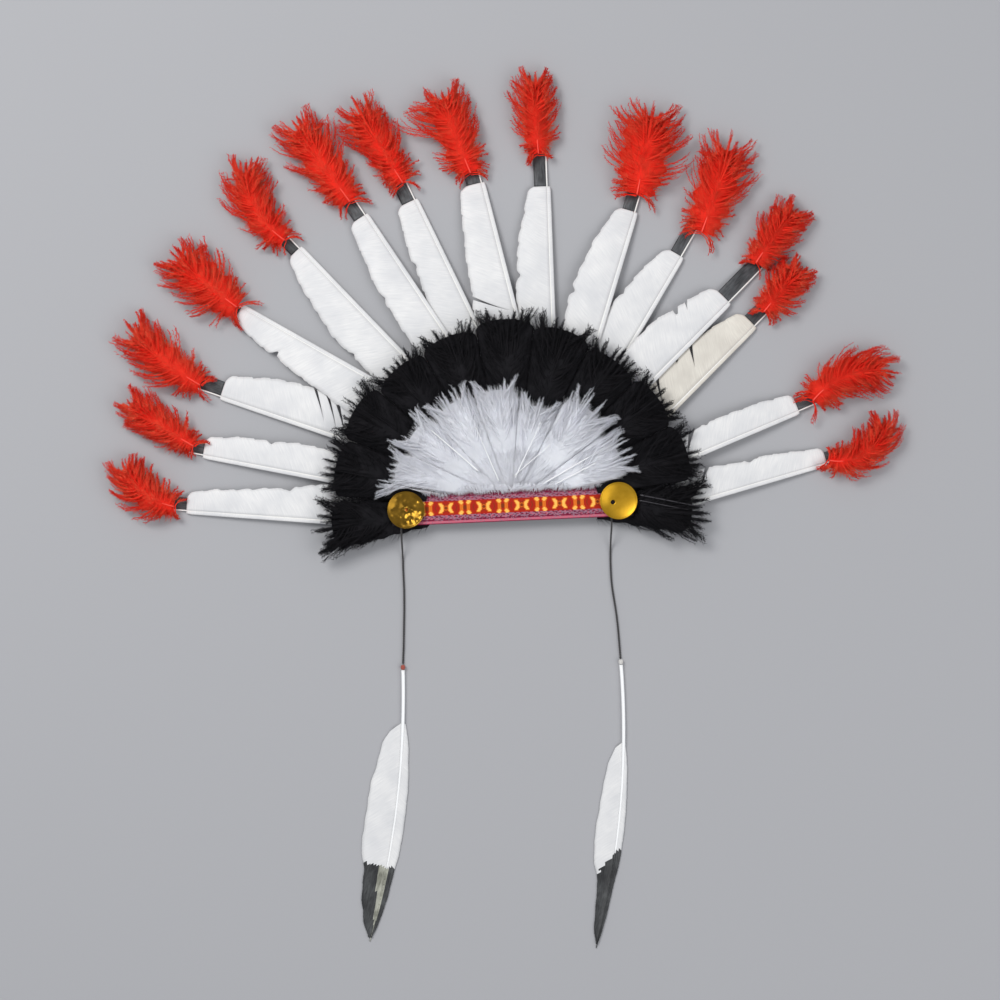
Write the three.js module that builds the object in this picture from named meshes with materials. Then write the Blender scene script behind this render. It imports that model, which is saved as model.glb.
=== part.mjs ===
// Feathered fan headdress, lying flat on its back. Millimetres, +Z up, +Y towards the top of the fan.
// The origin is in the middle of the elastic's underside, behind the middle of the ribbon band.

import * as THREE from 'three';

// Running clearance between neighbouring pieces
const CLEARANCE = 0.3;

// Head elastic and felt backing
const ELASTIC_LENGTH = 190;
const ELASTIC_WIDTH = 15;
const ELASTIC_THICKNESS = 1.2;
const BACKING_RADIUS = 106;
const BACKING_BELOW_CENTRE = 10;
const BACKING_THICKNESS = 3;

// Ribbon band and dished discs
const RIBBON_LENGTH = 168;
const RIBBON_WIDTH = 22;
const RIBBON_THICKNESS = 1.2;
const RIBBON_SELVEDGE_WIDTH = 1.6;
const RIBBON_SELVEDGE_PROUD = 0.3;
const DISC_INSET = 10;
const DISC_DIAMETER = 26;
const DISC_DEPTH = 3;
const DISC_WALL = 1;
const DISC_HOLE_DIAMETER = 3.6;

// Long feathers: lengths of the longest one, widths of the widest one
const FEATHER_LENGTH = 170;
const FEATHER_DYED_LENGTH = 34;
const FEATHER_VANE_WIDTH = 28;
const FEATHER_NARROW_VANE = 2.2;
const FEATHER_FOOT_RADIUS = 70;
const FEATHER_VANE_START_RADIUS = 106;
const QUILL_WIDTH = 3;
const SHAFT_HEIGHT = 2.2;
const VANE_THICKNESS = 1;

// Plumes: lengths of the longest one, half widths of the widest one
const RED_LENGTH = 73;
const RED_HALF_WIDTH = 30;
const RED_THICKNESS = 9;
const RED_OVERLAP = 9;
const RED_FOOT_OFF_SHAFT = 0.4;
const RED_LOBE_HALF_LENGTH = 0.2;
const BLACK_FOOT_RADIUS = 57;
const BLACK_REACH = 134;
const BLACK_FIRST_DIRECTION = 184;
const BLACK_LAST_DIRECTION = -4;
const BLACK_THICKNESS = 8;
const WHITE_FOOT_RADIUS = 8;
const WHITE_CLIMB_RADIUS = 36;
const WHITE_REACH = 90;
const WHITE_THICKNESS = 6;
const WHITE_FAN_RAISE = 2;
const PLUME_QUILL_THICKNESS = 1.4;

// Hanging cords, their knots and the drop feathers
const CORD_DIAMETER = 1.5;
const CORD_SIDES = 8;
const KNOT_DIAMETER = 3.6;
const DROP_LENGTH = 200;
const DROP_VANE_WIDTH = 21;

// Levels, from the surface upwards
const BACKING_BOTTOM = ELASTIC_THICKNESS + CLEARANCE;
const BACKING_TOP = BACKING_BOTTOM + BACKING_THICKNESS;
const LOW_FEATHER = BACKING_TOP + 2 * CLEARANCE;
const HIGH_FEATHER = LOW_FEATHER + SHAFT_HEIGHT + CLEARANCE;
const BLACK_LEVEL = HIGH_FEATHER + SHAFT_HEIGHT + CLEARANCE;
const BLACK_END_LEVEL = LOW_FEATHER + SHAFT_HEIGHT + CLEARANCE;
const RIBBON_BOTTOM = BLACK_END_LEVEL + PLUME_QUILL_THICKNESS + CLEARANCE;
const RIBBON_TOP = RIBBON_BOTTOM + RIBBON_THICKNESS;

// One row for each long feather. foot_at and direction are angles from +X. length, dyed and the widths are shares
// of the named lengths and of the vane width. side is 1 where the wide vane is on the left, looking outwards.
// notch_at and notch are where along the vane it splits, and how deep as a share of its width.
const FEATHERS = [
  { foot_at: 185.8, foot: 1.33, direction: 173.4, length: 0.8, dyed: 0.53, inner: 0.89, middle: 0.71, outer: 0.46,
    side: -1, notch_at: 0.42, notch: 0.2 },
  { foot_at: 170.6, foot: 1.26, direction: 166.7, length: 0.77, dyed: 0.47, inner: 0.71, middle: 0.71, outer: 0.46,
    side: -1, notch_at: 0.6, notch: 0.25 },
  { foot_at: 153.5, foot: 1, direction: 158.7, length: 0.87, dyed: 0.7, inner: 0.96, middle: 0.96, outer: 0.54,
    side: -1, notch_at: 0.3, notch: 0.5 },
  { foot_at: 125.1, foot: 1, direction: 148, length: 0.99, dyed: 0.53, inner: 0.96, middle: 0.82, outer: 0.39,
    side: 1, notch_at: 0.72, notch: 0.45 },
  { foot_at: 117.1, foot: 1, direction: 131.4, length: 0.97, dyed: 0.59, inner: 0.89, middle: 0.93, outer: 0.39,
    side: 1, notch_at: 0.38, notch: 0.2 },
  { foot_at: 98.3, foot: 1, direction: 121.3, length: 0.95, dyed: 0.65, inner: 0.79, middle: 0.82, outer: 0.46,
    side: 1, notch_at: 0.55, notch: 0.15 },
  { foot_at: 86.2, foot: 1, direction: 113.4, length: 0.94, dyed: 0.65, inner: 0.89, middle: 0.82, outer: 0.5,
    side: 1, notch_at: 0.66, notch: 0.15 },
  { foot_at: 72, foot: 1, direction: 101.8, length: 0.96, dyed: 0.53, inner: 1, middle: 0.89, outer: 0.54,
    side: 1, notch_at: 0.26, notch: 0.5 },
  { foot_at: 62, foot: 1, direction: 89.6, length: 0.94, dyed: 0.94, inner: 0.82, middle: 0.86, outer: 0.46,
    side: 1, notch_at: 0.5, notch: 0.15 },
  { foot_at: 51.5, foot: 1, direction: 70.8, length: 0.91, dyed: 0.65, inner: 0.89, middle: 0.96, outer: 0.46,
    side: 1, notch_at: 0.45, notch: 0.2 },
  { foot_at: 45.3, foot: 1, direction: 57.3, length: 0.83, dyed: 0.82, inner: 0.86, middle: 0.89, outer: 0.43,
    side: 1, notch_at: 0.6, notch: 0.15 },
  { foot_at: 36.3, foot: 1, direction: 42.9, length: 0.81, dyed: 1, inner: 0.96, middle: 1, outer: 0.54,
    side: 1, notch_at: 0.7, notch: 0.4 },
  { foot_at: 15.4, foot: 1, direction: 42.8, length: 0.86, dyed: 0.59, inner: 0.89, middle: 0.93, outer: 0.5,
    side: 1, notch_at: 0.5, notch: 0.4 },
  { foot_at: 9.4, foot: 1.3, direction: 20.5, length: 0.71, dyed: 0.59, inner: 0.54, middle: 0.64, outer: 0.46,
    side: 1, notch_at: 0.4, notch: 0.2 },
  { foot_at: -5.4, foot: 1.44, direction: 13.8, length: 0.73, dyed: 0.41, inner: 0.71, middle: 0.64, outer: 0.39,
    side: 1, notch_at: 0.55, notch: 0.2 },
];

// One row for each red plume, in the feathers' order. overlap and aside place its foot on the feather's tip, back
// along the shaft and to the left of it, looking outwards. turn is its angle from the feather's line and bend the
// angle that it curls through. lobe widens its left side round lobe_at, where some of them lean out.
const RED_PLUMES = [
  { overlap: 1.2, aside: 0, turn: -6, bend: -62, length: 0.72, half_width: 0.56, lobe_at: 0.5, lobe: 0 },
  { overlap: 1.1, aside: -0.08, turn: -19, bend: -9, length: 0.84, half_width: 0.5, lobe_at: 0.5, lobe: 0 },
  { overlap: 1.1, aside: 0, turn: -10, bend: -22, length: 0.94, half_width: 0.62, lobe_at: 0.2, lobe: 0 },
  { overlap: 1.9, aside: 0, turn: -6, bend: -9, length: 0.85, half_width: 0.74, lobe_at: 0.5, lobe: 0 },
  { overlap: 1.2, aside: 0.05, turn: 14, bend: -64, length: 0.92, half_width: 0.58, lobe_at: 0.5, lobe: 0 },
  { overlap: 1.2, aside: 0.05, turn: 3, bend: -3, length: 1, half_width: 0.68, lobe_at: 0.5, lobe: 0 },
  { overlap: 1.1, aside: 0, turn: 7, bend: -4, length: 0.92, half_width: 0.58, lobe_at: 0.85, lobe: 0.3 },
  { overlap: 1.3, aside: 0.1, turn: 9, bend: -8, length: 0.9, half_width: 0.66, lobe_at: 0.8, lobe: 0.9 },
  { overlap: 1.2, aside: 0.1, turn: 4, bend: -8, length: 0.82, half_width: 0.5, lobe_at: 0.85, lobe: 0.45 },
  { overlap: 1.3, aside: 0, turn: 5, bend: 2, length: 0.9, half_width: 0.92, lobe_at: 0.5, lobe: 0 },
  { overlap: 0.9, aside: -0.2, turn: 10, bend: 6, length: 0.98, half_width: 0.76, lobe_at: 0.5, lobe: 0 },
  { overlap: 0.3, aside: 0.1, turn: 12, bend: -10, length: 0.72, half_width: 0.54, lobe_at: 0.5, lobe: 0 },
  { overlap: 1.1, aside: 0, turn: 6, bend: -4, length: 0.62, half_width: 0.5, lobe_at: 0.5, lobe: 0 },
  { overlap: 1.1, aside: 0, turn: 30, bend: -66, length: 0.88, half_width: 0.6, lobe_at: 0.5, lobe: 0 },
  { overlap: 1.5, aside: 0, turn: -30, bend: 106, length: 0.82, half_width: 0.48, lobe_at: 0.5, lobe: 0 },
];

// One row for each black plume of the arch, spread evenly from the first direction to the last. The two end rows
// pass under the ribbon's ends. reach is a share of the named reach, and fill of the room between neighbours.
const BLACK_PLUMES = [
  { reach: 1, fill: 1, under_ribbon: true },
  { reach: 0.97, fill: 0.98, under_ribbon: false },
  { reach: 0.99, fill: 1, under_ribbon: false },
  { reach: 0.96, fill: 0.98, under_ribbon: false },
  { reach: 0.97, fill: 0.97, under_ribbon: false },
  { reach: 1, fill: 1, under_ribbon: false },
  { reach: 0.98, fill: 0.97, under_ribbon: false },
  { reach: 0.95, fill: 0.98, under_ribbon: false },
  { reach: 0.97, fill: 1, under_ribbon: false },
  { reach: 0.98, fill: 0.97, under_ribbon: false },
  { reach: 0.99, fill: 1, under_ribbon: true },
];

// One row for each white plume of the fan. half_angle is its room on each side of its direction.
const WHITE_PLUMES = [
  { direction: 162, half_angle: 6.5, reach: 1 },
  { direction: 143, half_angle: 11.3, reach: 1 },
  { direction: 119.5, half_angle: 11.6, reach: 0.96 },
  { direction: 96, half_angle: 11.8, reach: 0.94 },
  { direction: 72, half_angle: 11.8, reach: 0.82 },
  { direction: 48, half_angle: 12, reach: 1 },
  { direction: 21, half_angle: 10.5, reach: 0.97 },
];

// Stations along a plume: its locks stand out to the full width and its clefts draw in. along is a share of the
// length, width of the half width and height of the thickness. sweep leans a lock's tip forward along the plume.
// A fan plume opens slowly from a bare quill, and a red one is bushy from its foot.
const FAN_STATIONS = [
  { along: 0, width: 0.08, height: 0, sweep: 0 },
  { along: 0.1, width: 0.1, height: 0.1, sweep: 0 },
  { along: 0.26, width: 0.48, height: 0.6, sweep: 0.06 },
  { along: 0.36, width: 0.42, height: 0.5, sweep: 0 },
  { along: 0.44, width: 0.86, height: 0.95, sweep: 0.06 },
  { along: 0.56, width: 0.66, height: 0.75, sweep: 0 },
  { along: 0.63, width: 1, height: 1, sweep: 0.06 },
  { along: 0.75, width: 0.76, height: 0.75, sweep: 0 },
  { along: 0.81, width: 0.98, height: 0.85, sweep: 0.06 },
  { along: 0.91, width: 0.6, height: 0.55, sweep: 0 },
  { along: 0.95, width: 0.66, height: 0.5, sweep: 0.05 },
  { along: 1, width: 0.14, height: 0.25, sweep: 0 },
];
const RED_STATIONS = [
  { along: 0, width: 0.2, height: 0.1, sweep: 0 },
  { along: 0.05, width: 0.5, height: 0.5, sweep: 0 },
  { along: 0.1, width: 0.42, height: 0.5, sweep: 0 },
  { along: 0.16, width: 0.82, height: 0.8, sweep: 0.03 },
  { along: 0.24, width: 0.7, height: 0.75, sweep: 0 },
  { along: 0.33, width: 1, height: 0.95, sweep: 0.04 },
  { along: 0.45, width: 0.82, height: 0.85, sweep: 0 },
  { along: 0.54, width: 1, height: 1, sweep: 0.04 },
  { along: 0.66, width: 0.8, height: 0.8, sweep: 0 },
  { along: 0.73, width: 0.94, height: 0.85, sweep: 0.05 },
  { along: 0.84, width: 0.64, height: 0.6, sweep: 0 },
  { along: 0.9, width: 0.66, height: 0.5, sweep: 0.05 },
  { along: 1, width: 0.16, height: 0.25, sweep: 0 },
];

// Stations of a long feather's white vane, from its start to the dyed tip. inner, middle and outer are how much
// of each of the row's three widths counts there.
const VANE_STATIONS = [
  { along: 0, inner: 0.3, middle: 0, outer: 0 },
  { along: 0.08, inner: 0.9, middle: 0, outer: 0 },
  { along: 0.2, inner: 1, middle: 0, outer: 0 },
  { along: 0.5, inner: 0, middle: 1, outer: 0 },
  { along: 0.8, inner: 0, middle: 0.55, outer: 0.45 },
  { along: 1, inner: 0, middle: 0, outer: 1 },
];
const NOTCH_HALF_LENGTH = 0.04;
const DROOP_POWER = 2.5;

// One row for each cord with its drop feather. The route's points are chosen by hand, from the ribbon's lower edge
// over the plume below it and along the surface. They are millimetres, as x, y, z.
const DROPS = {
  left: {
    route: [
      [-78, -11.4, 10.1], [-78, -14, 10.1], [-78, -17, 9.8], [-78, -20, 8.9], [-78, -23, 7.4],
      [-78, -26, 5.4], [-78, -29, 3.4], [-78.1, -32, 1.9], [-78.1, -35.5, 1], [-78.2, -40, 0.8],
      [-78.2, -45, 0.8], [-78.2, -50, 0.8], [-78.2, -55, 0.8], [-78.3, -60, 0.8], [-78.5, -65, 0.8],
      [-78.7, -70, 0.8], [-79, -75, 0.8], [-79.3, -80, 0.8], [-79.6, -85, 0.8], [-79.9, -90, 0.8],
      [-80.2, -95, 0.8], [-80.6, -100, 0.8], [-80.9, -104, 0.8], [-81.2, -107.8, 0.8],
    ],
    knot: [-81.3, -109.9],
    heading: -91, bend: -17, length: 0.96, vane_start: 0.19,
    wide: 1, narrow: 0.33, side: -1,
  },
  right: {
    route: [
      [68.6, -11.4, 10.1], [68.6, -14, 10.1], [68.5, -17, 9.8], [68.3, -20, 8.9], [68, -23, 7.4], [67.8, -26, 5.4],
      [67.6, -29, 3.4], [67.4, -32, 1.9], [67.2, -35.5, 1], [67, -40, 0.8], [66.9, -45, 0.8], [66.9, -50, 0.8],
      [67, -55, 0.8], [67.3, -60, 0.8], [67.8, -65, 0.8], [68.4, -70, 0.8], [69, -75, 0.8], [69.5, -80, 0.8],
      [69.9, -85, 0.8], [70.2, -90, 0.8], [70.4, -95, 0.8], [70.6, -100, 0.8], [70.8, -105, 0.8],
      [71, -110.6, 0.8],
    ],
    knot: [71.1, -112.7],
    heading: -88, bend: -19, length: 1, vane_start: 0.27,
    wide: 0.74, narrow: 0.2, side: -1,
  },
};

// Stations of a drop feather's vane, from its start to its tip, as shares of its two widths
const DROP_STATIONS = [
  { along: 0, width: 0.25 },
  { along: 0.1, width: 0.66 },
  { along: 0.28, width: 0.92 },
  { along: 0.45, width: 1 },
  { along: 0.62, width: 0.94 },
  { along: 0.68, width: 0.78 },
  { along: 0.84, width: 0.6 },
  { along: 0.95, width: 0.36 },
  { along: 1, width: 0.06 },
];

const COLOURS = {
  black_felt: '#17161a',
  black_elastic: '#1b1a1d',
  woven_ribbon: '#a8402c',
  gold_disc: '#c79a45',
  white_feather: '#e9e6e0',
  red_marabou: '#c8141c',
  black_marabou: '#141217',
  white_marabou: '#f1efec',
  black_cord: '#1d1a1c',
  binding_thread: '#b9483f',
};

const object = new THREE.Group();

function addMesh(name, geometry, slot, roughness, metalness) {
  const material = new THREE.MeshStandardMaterial({ color: COLOURS[slot], roughness, metalness });
  material.name = slot;
  const mesh = new THREE.Mesh(geometry, material);
  mesh.name = name;
  object.add(mesh);
  return mesh;
}

function numbered(name, index) {
  return `${name}_${String(index + 1).padStart(2, '0')}`;
}

function mix(from, to, share) {
  return from + (to - from) * share;
}

// A closed solid through rings of points. A ring runs right, top, left, bottom, looking along the solid.
function loft(rings) {
  const count = rings[0].length;
  const positions = rings.flat().flatMap((point) => [point.x, point.y, point.z]);
  const triangles = [];
  for (let ring = 0; ring < rings.length - 1; ring += 1) {
    for (let side = 0; side < count; side += 1) {
      const near = ring * count + side;
      const nearNext = ring * count + ((side + 1) % count);
      const far = near + count;
      const farNext = nearNext + count;
      triangles.push(near, far, farNext, near, farNext, nearNext);
    }
  }
  const last = (rings.length - 1) * count;
  for (let side = 1; side < count - 1; side += 1) {
    triangles.push(0, side, side + 1);
    triangles.push(last, last + side + 1, last + side);
  }
  const geometry = new THREE.BufferGeometry();
  geometry.setAttribute('position', new THREE.Float32BufferAttribute(positions, 3));
  geometry.setIndex(triangles);
  geometry.computeVertexNormals();
  return geometry;
}

// A curved line in plan, walked in short steps from a start point while its heading turns evenly by bend degrees.
// It gives the point and the two directions at a share of its length.
function spine(start, headingDegrees, bendDegrees, length) {
  const heading = THREE.MathUtils.degToRad(headingDegrees);
  const bend = THREE.MathUtils.degToRad(bendDegrees);
  const steps = 48;
  return (share) => {
    const point = new THREE.Vector2(start.x, start.y);
    for (let step = 0; step < steps; step += 1) {
      const angle = heading + bend * share * ((step + 0.5) / steps);
      point.x += (Math.cos(angle) * length * share) / steps;
      point.y += (Math.sin(angle) * length * share) / steps;
    }
    const angle = heading + bend * share;
    const forward = new THREE.Vector2(Math.cos(angle), Math.sin(angle));
    const left = new THREE.Vector2(-Math.sin(angle), Math.cos(angle));
    return { point, forward, left };
  };
}

// The section of a feather: a flat vane with a shaft standing above it
function featherRing(place, leftWidth, rightWidth, bottom) {
  const shaftHalf = QUILL_WIDTH / 2;
  const vaneTop = Math.min(VANE_THICKNESS, SHAFT_HEIGHT);
  const left = Math.max(leftWidth, shaftHalf);
  const right = Math.max(rightWidth, shaftHalf);
  const corners = [
    [-right, 0],
    [-right, vaneTop],
    [-shaftHalf / 2, SHAFT_HEIGHT],
    [shaftHalf / 2, SHAFT_HEIGHT],
    [left, vaneTop],
    [left, 0],
  ];
  return corners.map(([across, up]) => new THREE.Vector3(
    place.point.x + place.left.x * across,
    place.point.y + place.left.y * across,
    bottom + up,
  ));
}

function sidedRing(place, side, wide, narrow, bottom) {
  return side > 0 ? featherRing(place, wide, narrow, bottom) : featherRing(place, narrow, wide, bottom);
}

function polar(radius, degrees) {
  const angle = THREE.MathUtils.degToRad(degrees);
  return new THREE.Vector2(radius * Math.cos(angle), radius * Math.sin(angle));
}

function featherLine(row) {
  const foot = polar(FEATHER_FOOT_RADIUS * row.foot, row.foot_at);
  const white = FEATHER_LENGTH * row.length;
  const dyed = FEATHER_DYED_LENGTH * row.dyed;
  return { foot, white, dyed, total: white + dyed, along: spine(foot, row.direction, 0, white + dyed) };
}

function vaneWidth(row, share) {
  const next = VANE_STATIONS.findIndex((station) => station.along >= share);
  const blended = (station) => station.inner * row.inner + station.middle * row.middle + station.outer * row.outer;
  const after = VANE_STATIONS[Math.max(next, 1)];
  const before = VANE_STATIONS[Math.max(next, 1) - 1];
  const between = (share - before.along) / (after.along - before.along);
  return FEATHER_VANE_WIDTH * mix(blended(before), blended(after), between);
}

// The underside of a long feather droops from its level at the foot to the surface at its tip
function featherBottom(level, share) {
  return level * (1 - share ** DROOP_POWER);
}

function longFeather(row, level) {
  const line = featherLine(row);
  const vaneStart = FEATHER_VANE_START_RADIUS - FEATHER_FOOT_RADIUS;
  const startAlong = Math.max(vaneStart - FEATHER_FOOT_RADIUS * (row.foot - 1), QUILL_WIDTH * 3);
  const rings = [];
  const addRing = (distance, wide, narrow) => {
    const share = distance / line.total;
    rings.push(sidedRing(line.along(share), row.side, wide, narrow, featherBottom(level, share)));
  };
  addRing(0, 0, 0);
  addRing(startAlong - QUILL_WIDTH, 0, 0);
  const notchShares = [row.notch_at - NOTCH_HALF_LENGTH, row.notch_at, row.notch_at + NOTCH_HALF_LENGTH];
  const plain = VANE_STATIONS.map((station) => station.along)
    .filter((share) => Math.abs(share - row.notch_at) > NOTCH_HALF_LENGTH * 1.5);
  const shares = [...plain, ...notchShares].sort((first, second) => first - second);
  for (const share of shares) {
    const cut = share === row.notch_at ? 1 - row.notch : 1;
    addRing(mix(startAlong, line.white, share), vaneWidth(row, share) * cut, FEATHER_NARROW_VANE);
  }
  const dyedWidth = FEATHER_VANE_WIDTH * row.outer;
  addRing(line.white + line.dyed * 0.55, dyedWidth, FEATHER_NARROW_VANE);
  addRing(line.total, dyedWidth * 0.9, FEATHER_NARROW_VANE);
  return loft(rings);
}

// The section of a plume: a lens with its widest line low on both sides
function plumeRing(place, leftWidth, rightWidth, thickness, bottom, sweep) {
  const corners = [
    [-rightWidth, thickness * 0.35, sweep],
    [-rightWidth * 0.5, thickness * 0.85, sweep * 0.5],
    [0, thickness, 0],
    [leftWidth * 0.5, thickness * 0.85, sweep * 0.5],
    [leftWidth, thickness * 0.35, sweep],
    [0, 0, 0],
  ];
  return corners.map(([across, up, ahead]) => new THREE.Vector3(
    place.point.x + place.left.x * across + place.forward.x * ahead,
    place.point.y + place.left.y * across + place.forward.y * ahead,
    bottom + up,
  ));
}

// A plume of locks along a spine. The functions in form give its half width, its left side's widening, its
// underside and its thickness at a share of the length.
function plume(line, length, stations, form) {
  const rings = stations.map((station) => {
    const thickness = mix(PLUME_QUILL_THICKNESS, form.thickness(station.along), station.height);
    const full = form.halfWidth(station.along + station.sweep);
    const width = Math.max(full * station.width, PLUME_QUILL_THICKNESS / 2);
    const leftWidth = width * (1 + form.lobe(station.along));
    const bottom = form.bottom(station.along);
    return plumeRing(line(station.along), leftWidth, width, thickness, bottom, length * station.sweep);
  });
  return loft(rings);
}

// Half the room that a plume has in a fan at a radius, where its sides are halfAngle degrees off its direction
function fanRoom(radius, halfAngle) {
  return radius * Math.tan(THREE.MathUtils.degToRad(halfAngle)) - CLEARANCE;
}

function redPlume(row, feather, featherLevel) {
  const line = featherLine(feather);
  const footShare = (line.total - RED_OVERLAP * row.overlap) / line.total;
  const base = line.along(footShare);
  const dyedMiddle = (feather.side * (FEATHER_VANE_WIDTH * feather.outer - FEATHER_NARROW_VANE)) / 2;
  const across = dyedMiddle * RED_FOOT_OFF_SHAFT + RED_HALF_WIDTH * row.aside;
  const start = base.point.clone().addScaledVector(base.left, across);
  const length = RED_LENGTH * row.length;
  const level = featherBottom(featherLevel, footShare) + SHAFT_HEIGHT + CLEARANCE;
  return plume(spine(start, feather.direction + row.turn, row.bend, length), length, RED_STATIONS, {
    halfWidth: () => RED_HALF_WIDTH * row.half_width,
    lobe: (share) => row.lobe * Math.max(0, 1 - Math.abs(share - row.lobe_at) / RED_LOBE_HALF_LENGTH),
    bottom: () => level,
    thickness: () => RED_THICKNESS,
  });
}

// How high a full black plume reaches at a radius, as a straight rise from its foot to its middle
function blackThickness(radius) {
  const full = mix(BLACK_FOOT_RADIUS, BLACK_REACH, 0.6);
  const share = THREE.MathUtils.clamp((radius - BLACK_FOOT_RADIUS) / (full - BLACK_FOOT_RADIUS), 0, 1);
  return mix(PLUME_QUILL_THICKNESS, BLACK_THICKNESS, share);
}

function blackPlume(row, index) {
  const step = (BLACK_FIRST_DIRECTION - BLACK_LAST_DIRECTION) / (BLACK_PLUMES.length - 1);
  const direction = BLACK_FIRST_DIRECTION - step * index;
  const foot = polar(BLACK_FOOT_RADIUS, direction);
  const length = BLACK_REACH * row.reach - BLACK_FOOT_RADIUS;
  const level = row.under_ribbon ? BLACK_END_LEVEL : BLACK_LEVEL;
  const radiusAt = (share) => BLACK_FOOT_RADIUS + length * share;
  const discEdge = RIBBON_LENGTH / 2 - DISC_INSET + DISC_DIAMETER / 2;
  return plume(spine(foot, direction, 0, length), length, FAN_STATIONS, {
    halfWidth: (share) => fanRoom(radiusAt(share), step / 2) * row.fill,
    lobe: () => 0,
    bottom: (share) => (share === 0 ? BACKING_TOP + CLEARANCE : level),
    thickness: (share) => {
      const thin = row.under_ribbon && radiusAt(share) < discEdge;
      return thin ? PLUME_QUILL_THICKNESS : blackThickness(radiusAt(share));
    },
  });
}

function whitePlume(row) {
  const foot = polar(WHITE_FOOT_RADIUS, row.direction);
  foot.y += WHITE_FAN_RAISE;
  const length = WHITE_REACH * row.reach - WHITE_FOOT_RADIUS;
  const low = BACKING_TOP + CLEARANCE;
  return plume(spine(foot, row.direction, 0, length), length, FAN_STATIONS, {
    halfWidth: (share) => fanRoom(WHITE_FOOT_RADIUS + length * share, row.half_angle),
    lobe: () => 0,
    bottom: (share) => {
      const radius = WHITE_FOOT_RADIUS + WHITE_FAN_RAISE + length * share;
      const over = BLACK_LEVEL + blackThickness(radius) + CLEARANCE * 2;
      const climb = (radius - WHITE_CLIMB_RADIUS) / (BLACK_FOOT_RADIUS - WHITE_CLIMB_RADIUS);
      return mix(low, over, THREE.MathUtils.clamp(climb, 0, 1));
    },
    thickness: () => WHITE_THICKNESS,
  });
}

// Flat felt half-moon with its straight edge along the ribbon
function backing() {
  const edge = -BACKING_BELOW_CENTRE;
  const start = Math.asin(edge / BACKING_RADIUS);
  const outline = new THREE.Shape();
  outline.absarc(0, 0, BACKING_RADIUS, start, Math.PI - start, false);
  outline.closePath();
  const geometry = new THREE.ExtrudeGeometry(outline, {
    depth: BACKING_THICKNESS, bevelEnabled: false, curveSegments: 28,
  });
  geometry.translate(0, 0, BACKING_BOTTOM);
  return geometry;
}

function headElastic() {
  const geometry = new THREE.BoxGeometry(ELASTIC_LENGTH, ELASTIC_WIDTH, ELASTIC_THICKNESS);
  geometry.translate(0, 0, ELASTIC_THICKNESS / 2);
  return geometry;
}

// The band's section has a slightly raised selvedge along both edges
function ribbonBand() {
  const half = RIBBON_WIDTH / 2;
  const inside = half - RIBBON_SELVEDGE_WIDTH;
  const ground = RIBBON_THICKNESS - RIBBON_SELVEDGE_PROUD;
  const section = new THREE.Shape([
    new THREE.Vector2(-half, 0),
    new THREE.Vector2(half, 0),
    new THREE.Vector2(half, RIBBON_THICKNESS),
    new THREE.Vector2(inside, RIBBON_THICKNESS),
    new THREE.Vector2(inside, ground),
    new THREE.Vector2(-inside, ground),
    new THREE.Vector2(-inside, RIBBON_THICKNESS),
    new THREE.Vector2(-half, RIBBON_THICKNESS),
  ]);
  const geometry = new THREE.ExtrudeGeometry(section, { depth: RIBBON_LENGTH, bevelEnabled: false });
  geometry.rotateX(Math.PI / 2);
  geometry.rotateZ(Math.PI / 2);
  geometry.translate(-RIBBON_LENGTH / 2, 0, RIBBON_BOTTOM);
  return geometry;
}

// A dished round disc with a sewing hole in its middle and a raised rim
function dishedDisc() {
  const outer = DISC_DIAMETER / 2;
  const hole = DISC_HOLE_DIAMETER / 2;
  const rise = DISC_DEPTH - DISC_WALL;
  const rows = 5;
  const under = [];
  const over = [];
  for (let row = 0; row <= rows; row += 1) {
    const share = row / rows;
    const radius = mix(hole, outer, share);
    const height = rise * share ** 2;
    under.push(new THREE.Vector2(radius, height));
    over.unshift(new THREE.Vector2(radius, height + DISC_WALL));
  }
  return new THREE.LatheGeometry([...under, ...over, under[0].clone()], 28);
}

function addDisc(name, x) {
  const disc = addMesh(name, dishedDisc(), 'gold_disc', 0.28, 1);
  disc.rotation.x = Math.PI / 2;
  disc.position.set(x, 0, RIBBON_TOP + CLEARANCE);
}

function cord(route) {
  const curve = new THREE.CatmullRomCurve3(route.map(([x, y, z]) => new THREE.Vector3(x, y, z)));
  const section = new THREE.Shape();
  section.absarc(0, 0, CORD_DIAMETER / 2, 0, Math.PI * 2, false);
  return new THREE.ExtrudeGeometry(section, {
    extrudePath: curve, steps: 26, curveSegments: CORD_SIDES, bevelEnabled: false,
  });
}

function knot([x, y]) {
  const geometry = new THREE.SphereGeometry(KNOT_DIAMETER / 2, 10, 7);
  geometry.rotateX(Math.PI / 2);
  geometry.translate(x, y, KNOT_DIAMETER / 2);
  return geometry;
}

function dropFeather(row) {
  const away = polar(KNOT_DIAMETER / 2 + CLEARANCE, row.heading);
  const start = new THREE.Vector2(row.knot[0] + away.x, row.knot[1] + away.y);
  const length = DROP_LENGTH * row.length;
  const along = spine(start, row.heading, row.bend, length);
  const quill = [0, row.vane_start * 0.5];
  const rings = quill.map((share) => sidedRing(along(share), row.side, 0, 0, 0));
  for (const station of DROP_STATIONS) {
    const width = DROP_VANE_WIDTH * station.width;
    const place = along(mix(row.vane_start, 1, station.along));
    rings.push(sidedRing(place, row.side, width * row.wide, width * row.narrow, 0));
  }
  return loft(rings);
}

addMesh('head_elastic', headElastic(), 'black_elastic', 0.85, 0);
addMesh('backing', backing(), 'black_felt', 0.95, 0);
addMesh('ribbon_band', ribbonBand(), 'woven_ribbon', 0.7, 0);
addDisc('disc_left', DISC_INSET - RIBBON_LENGTH / 2);
addDisc('disc_right', RIBBON_LENGTH / 2 - DISC_INSET);

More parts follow.
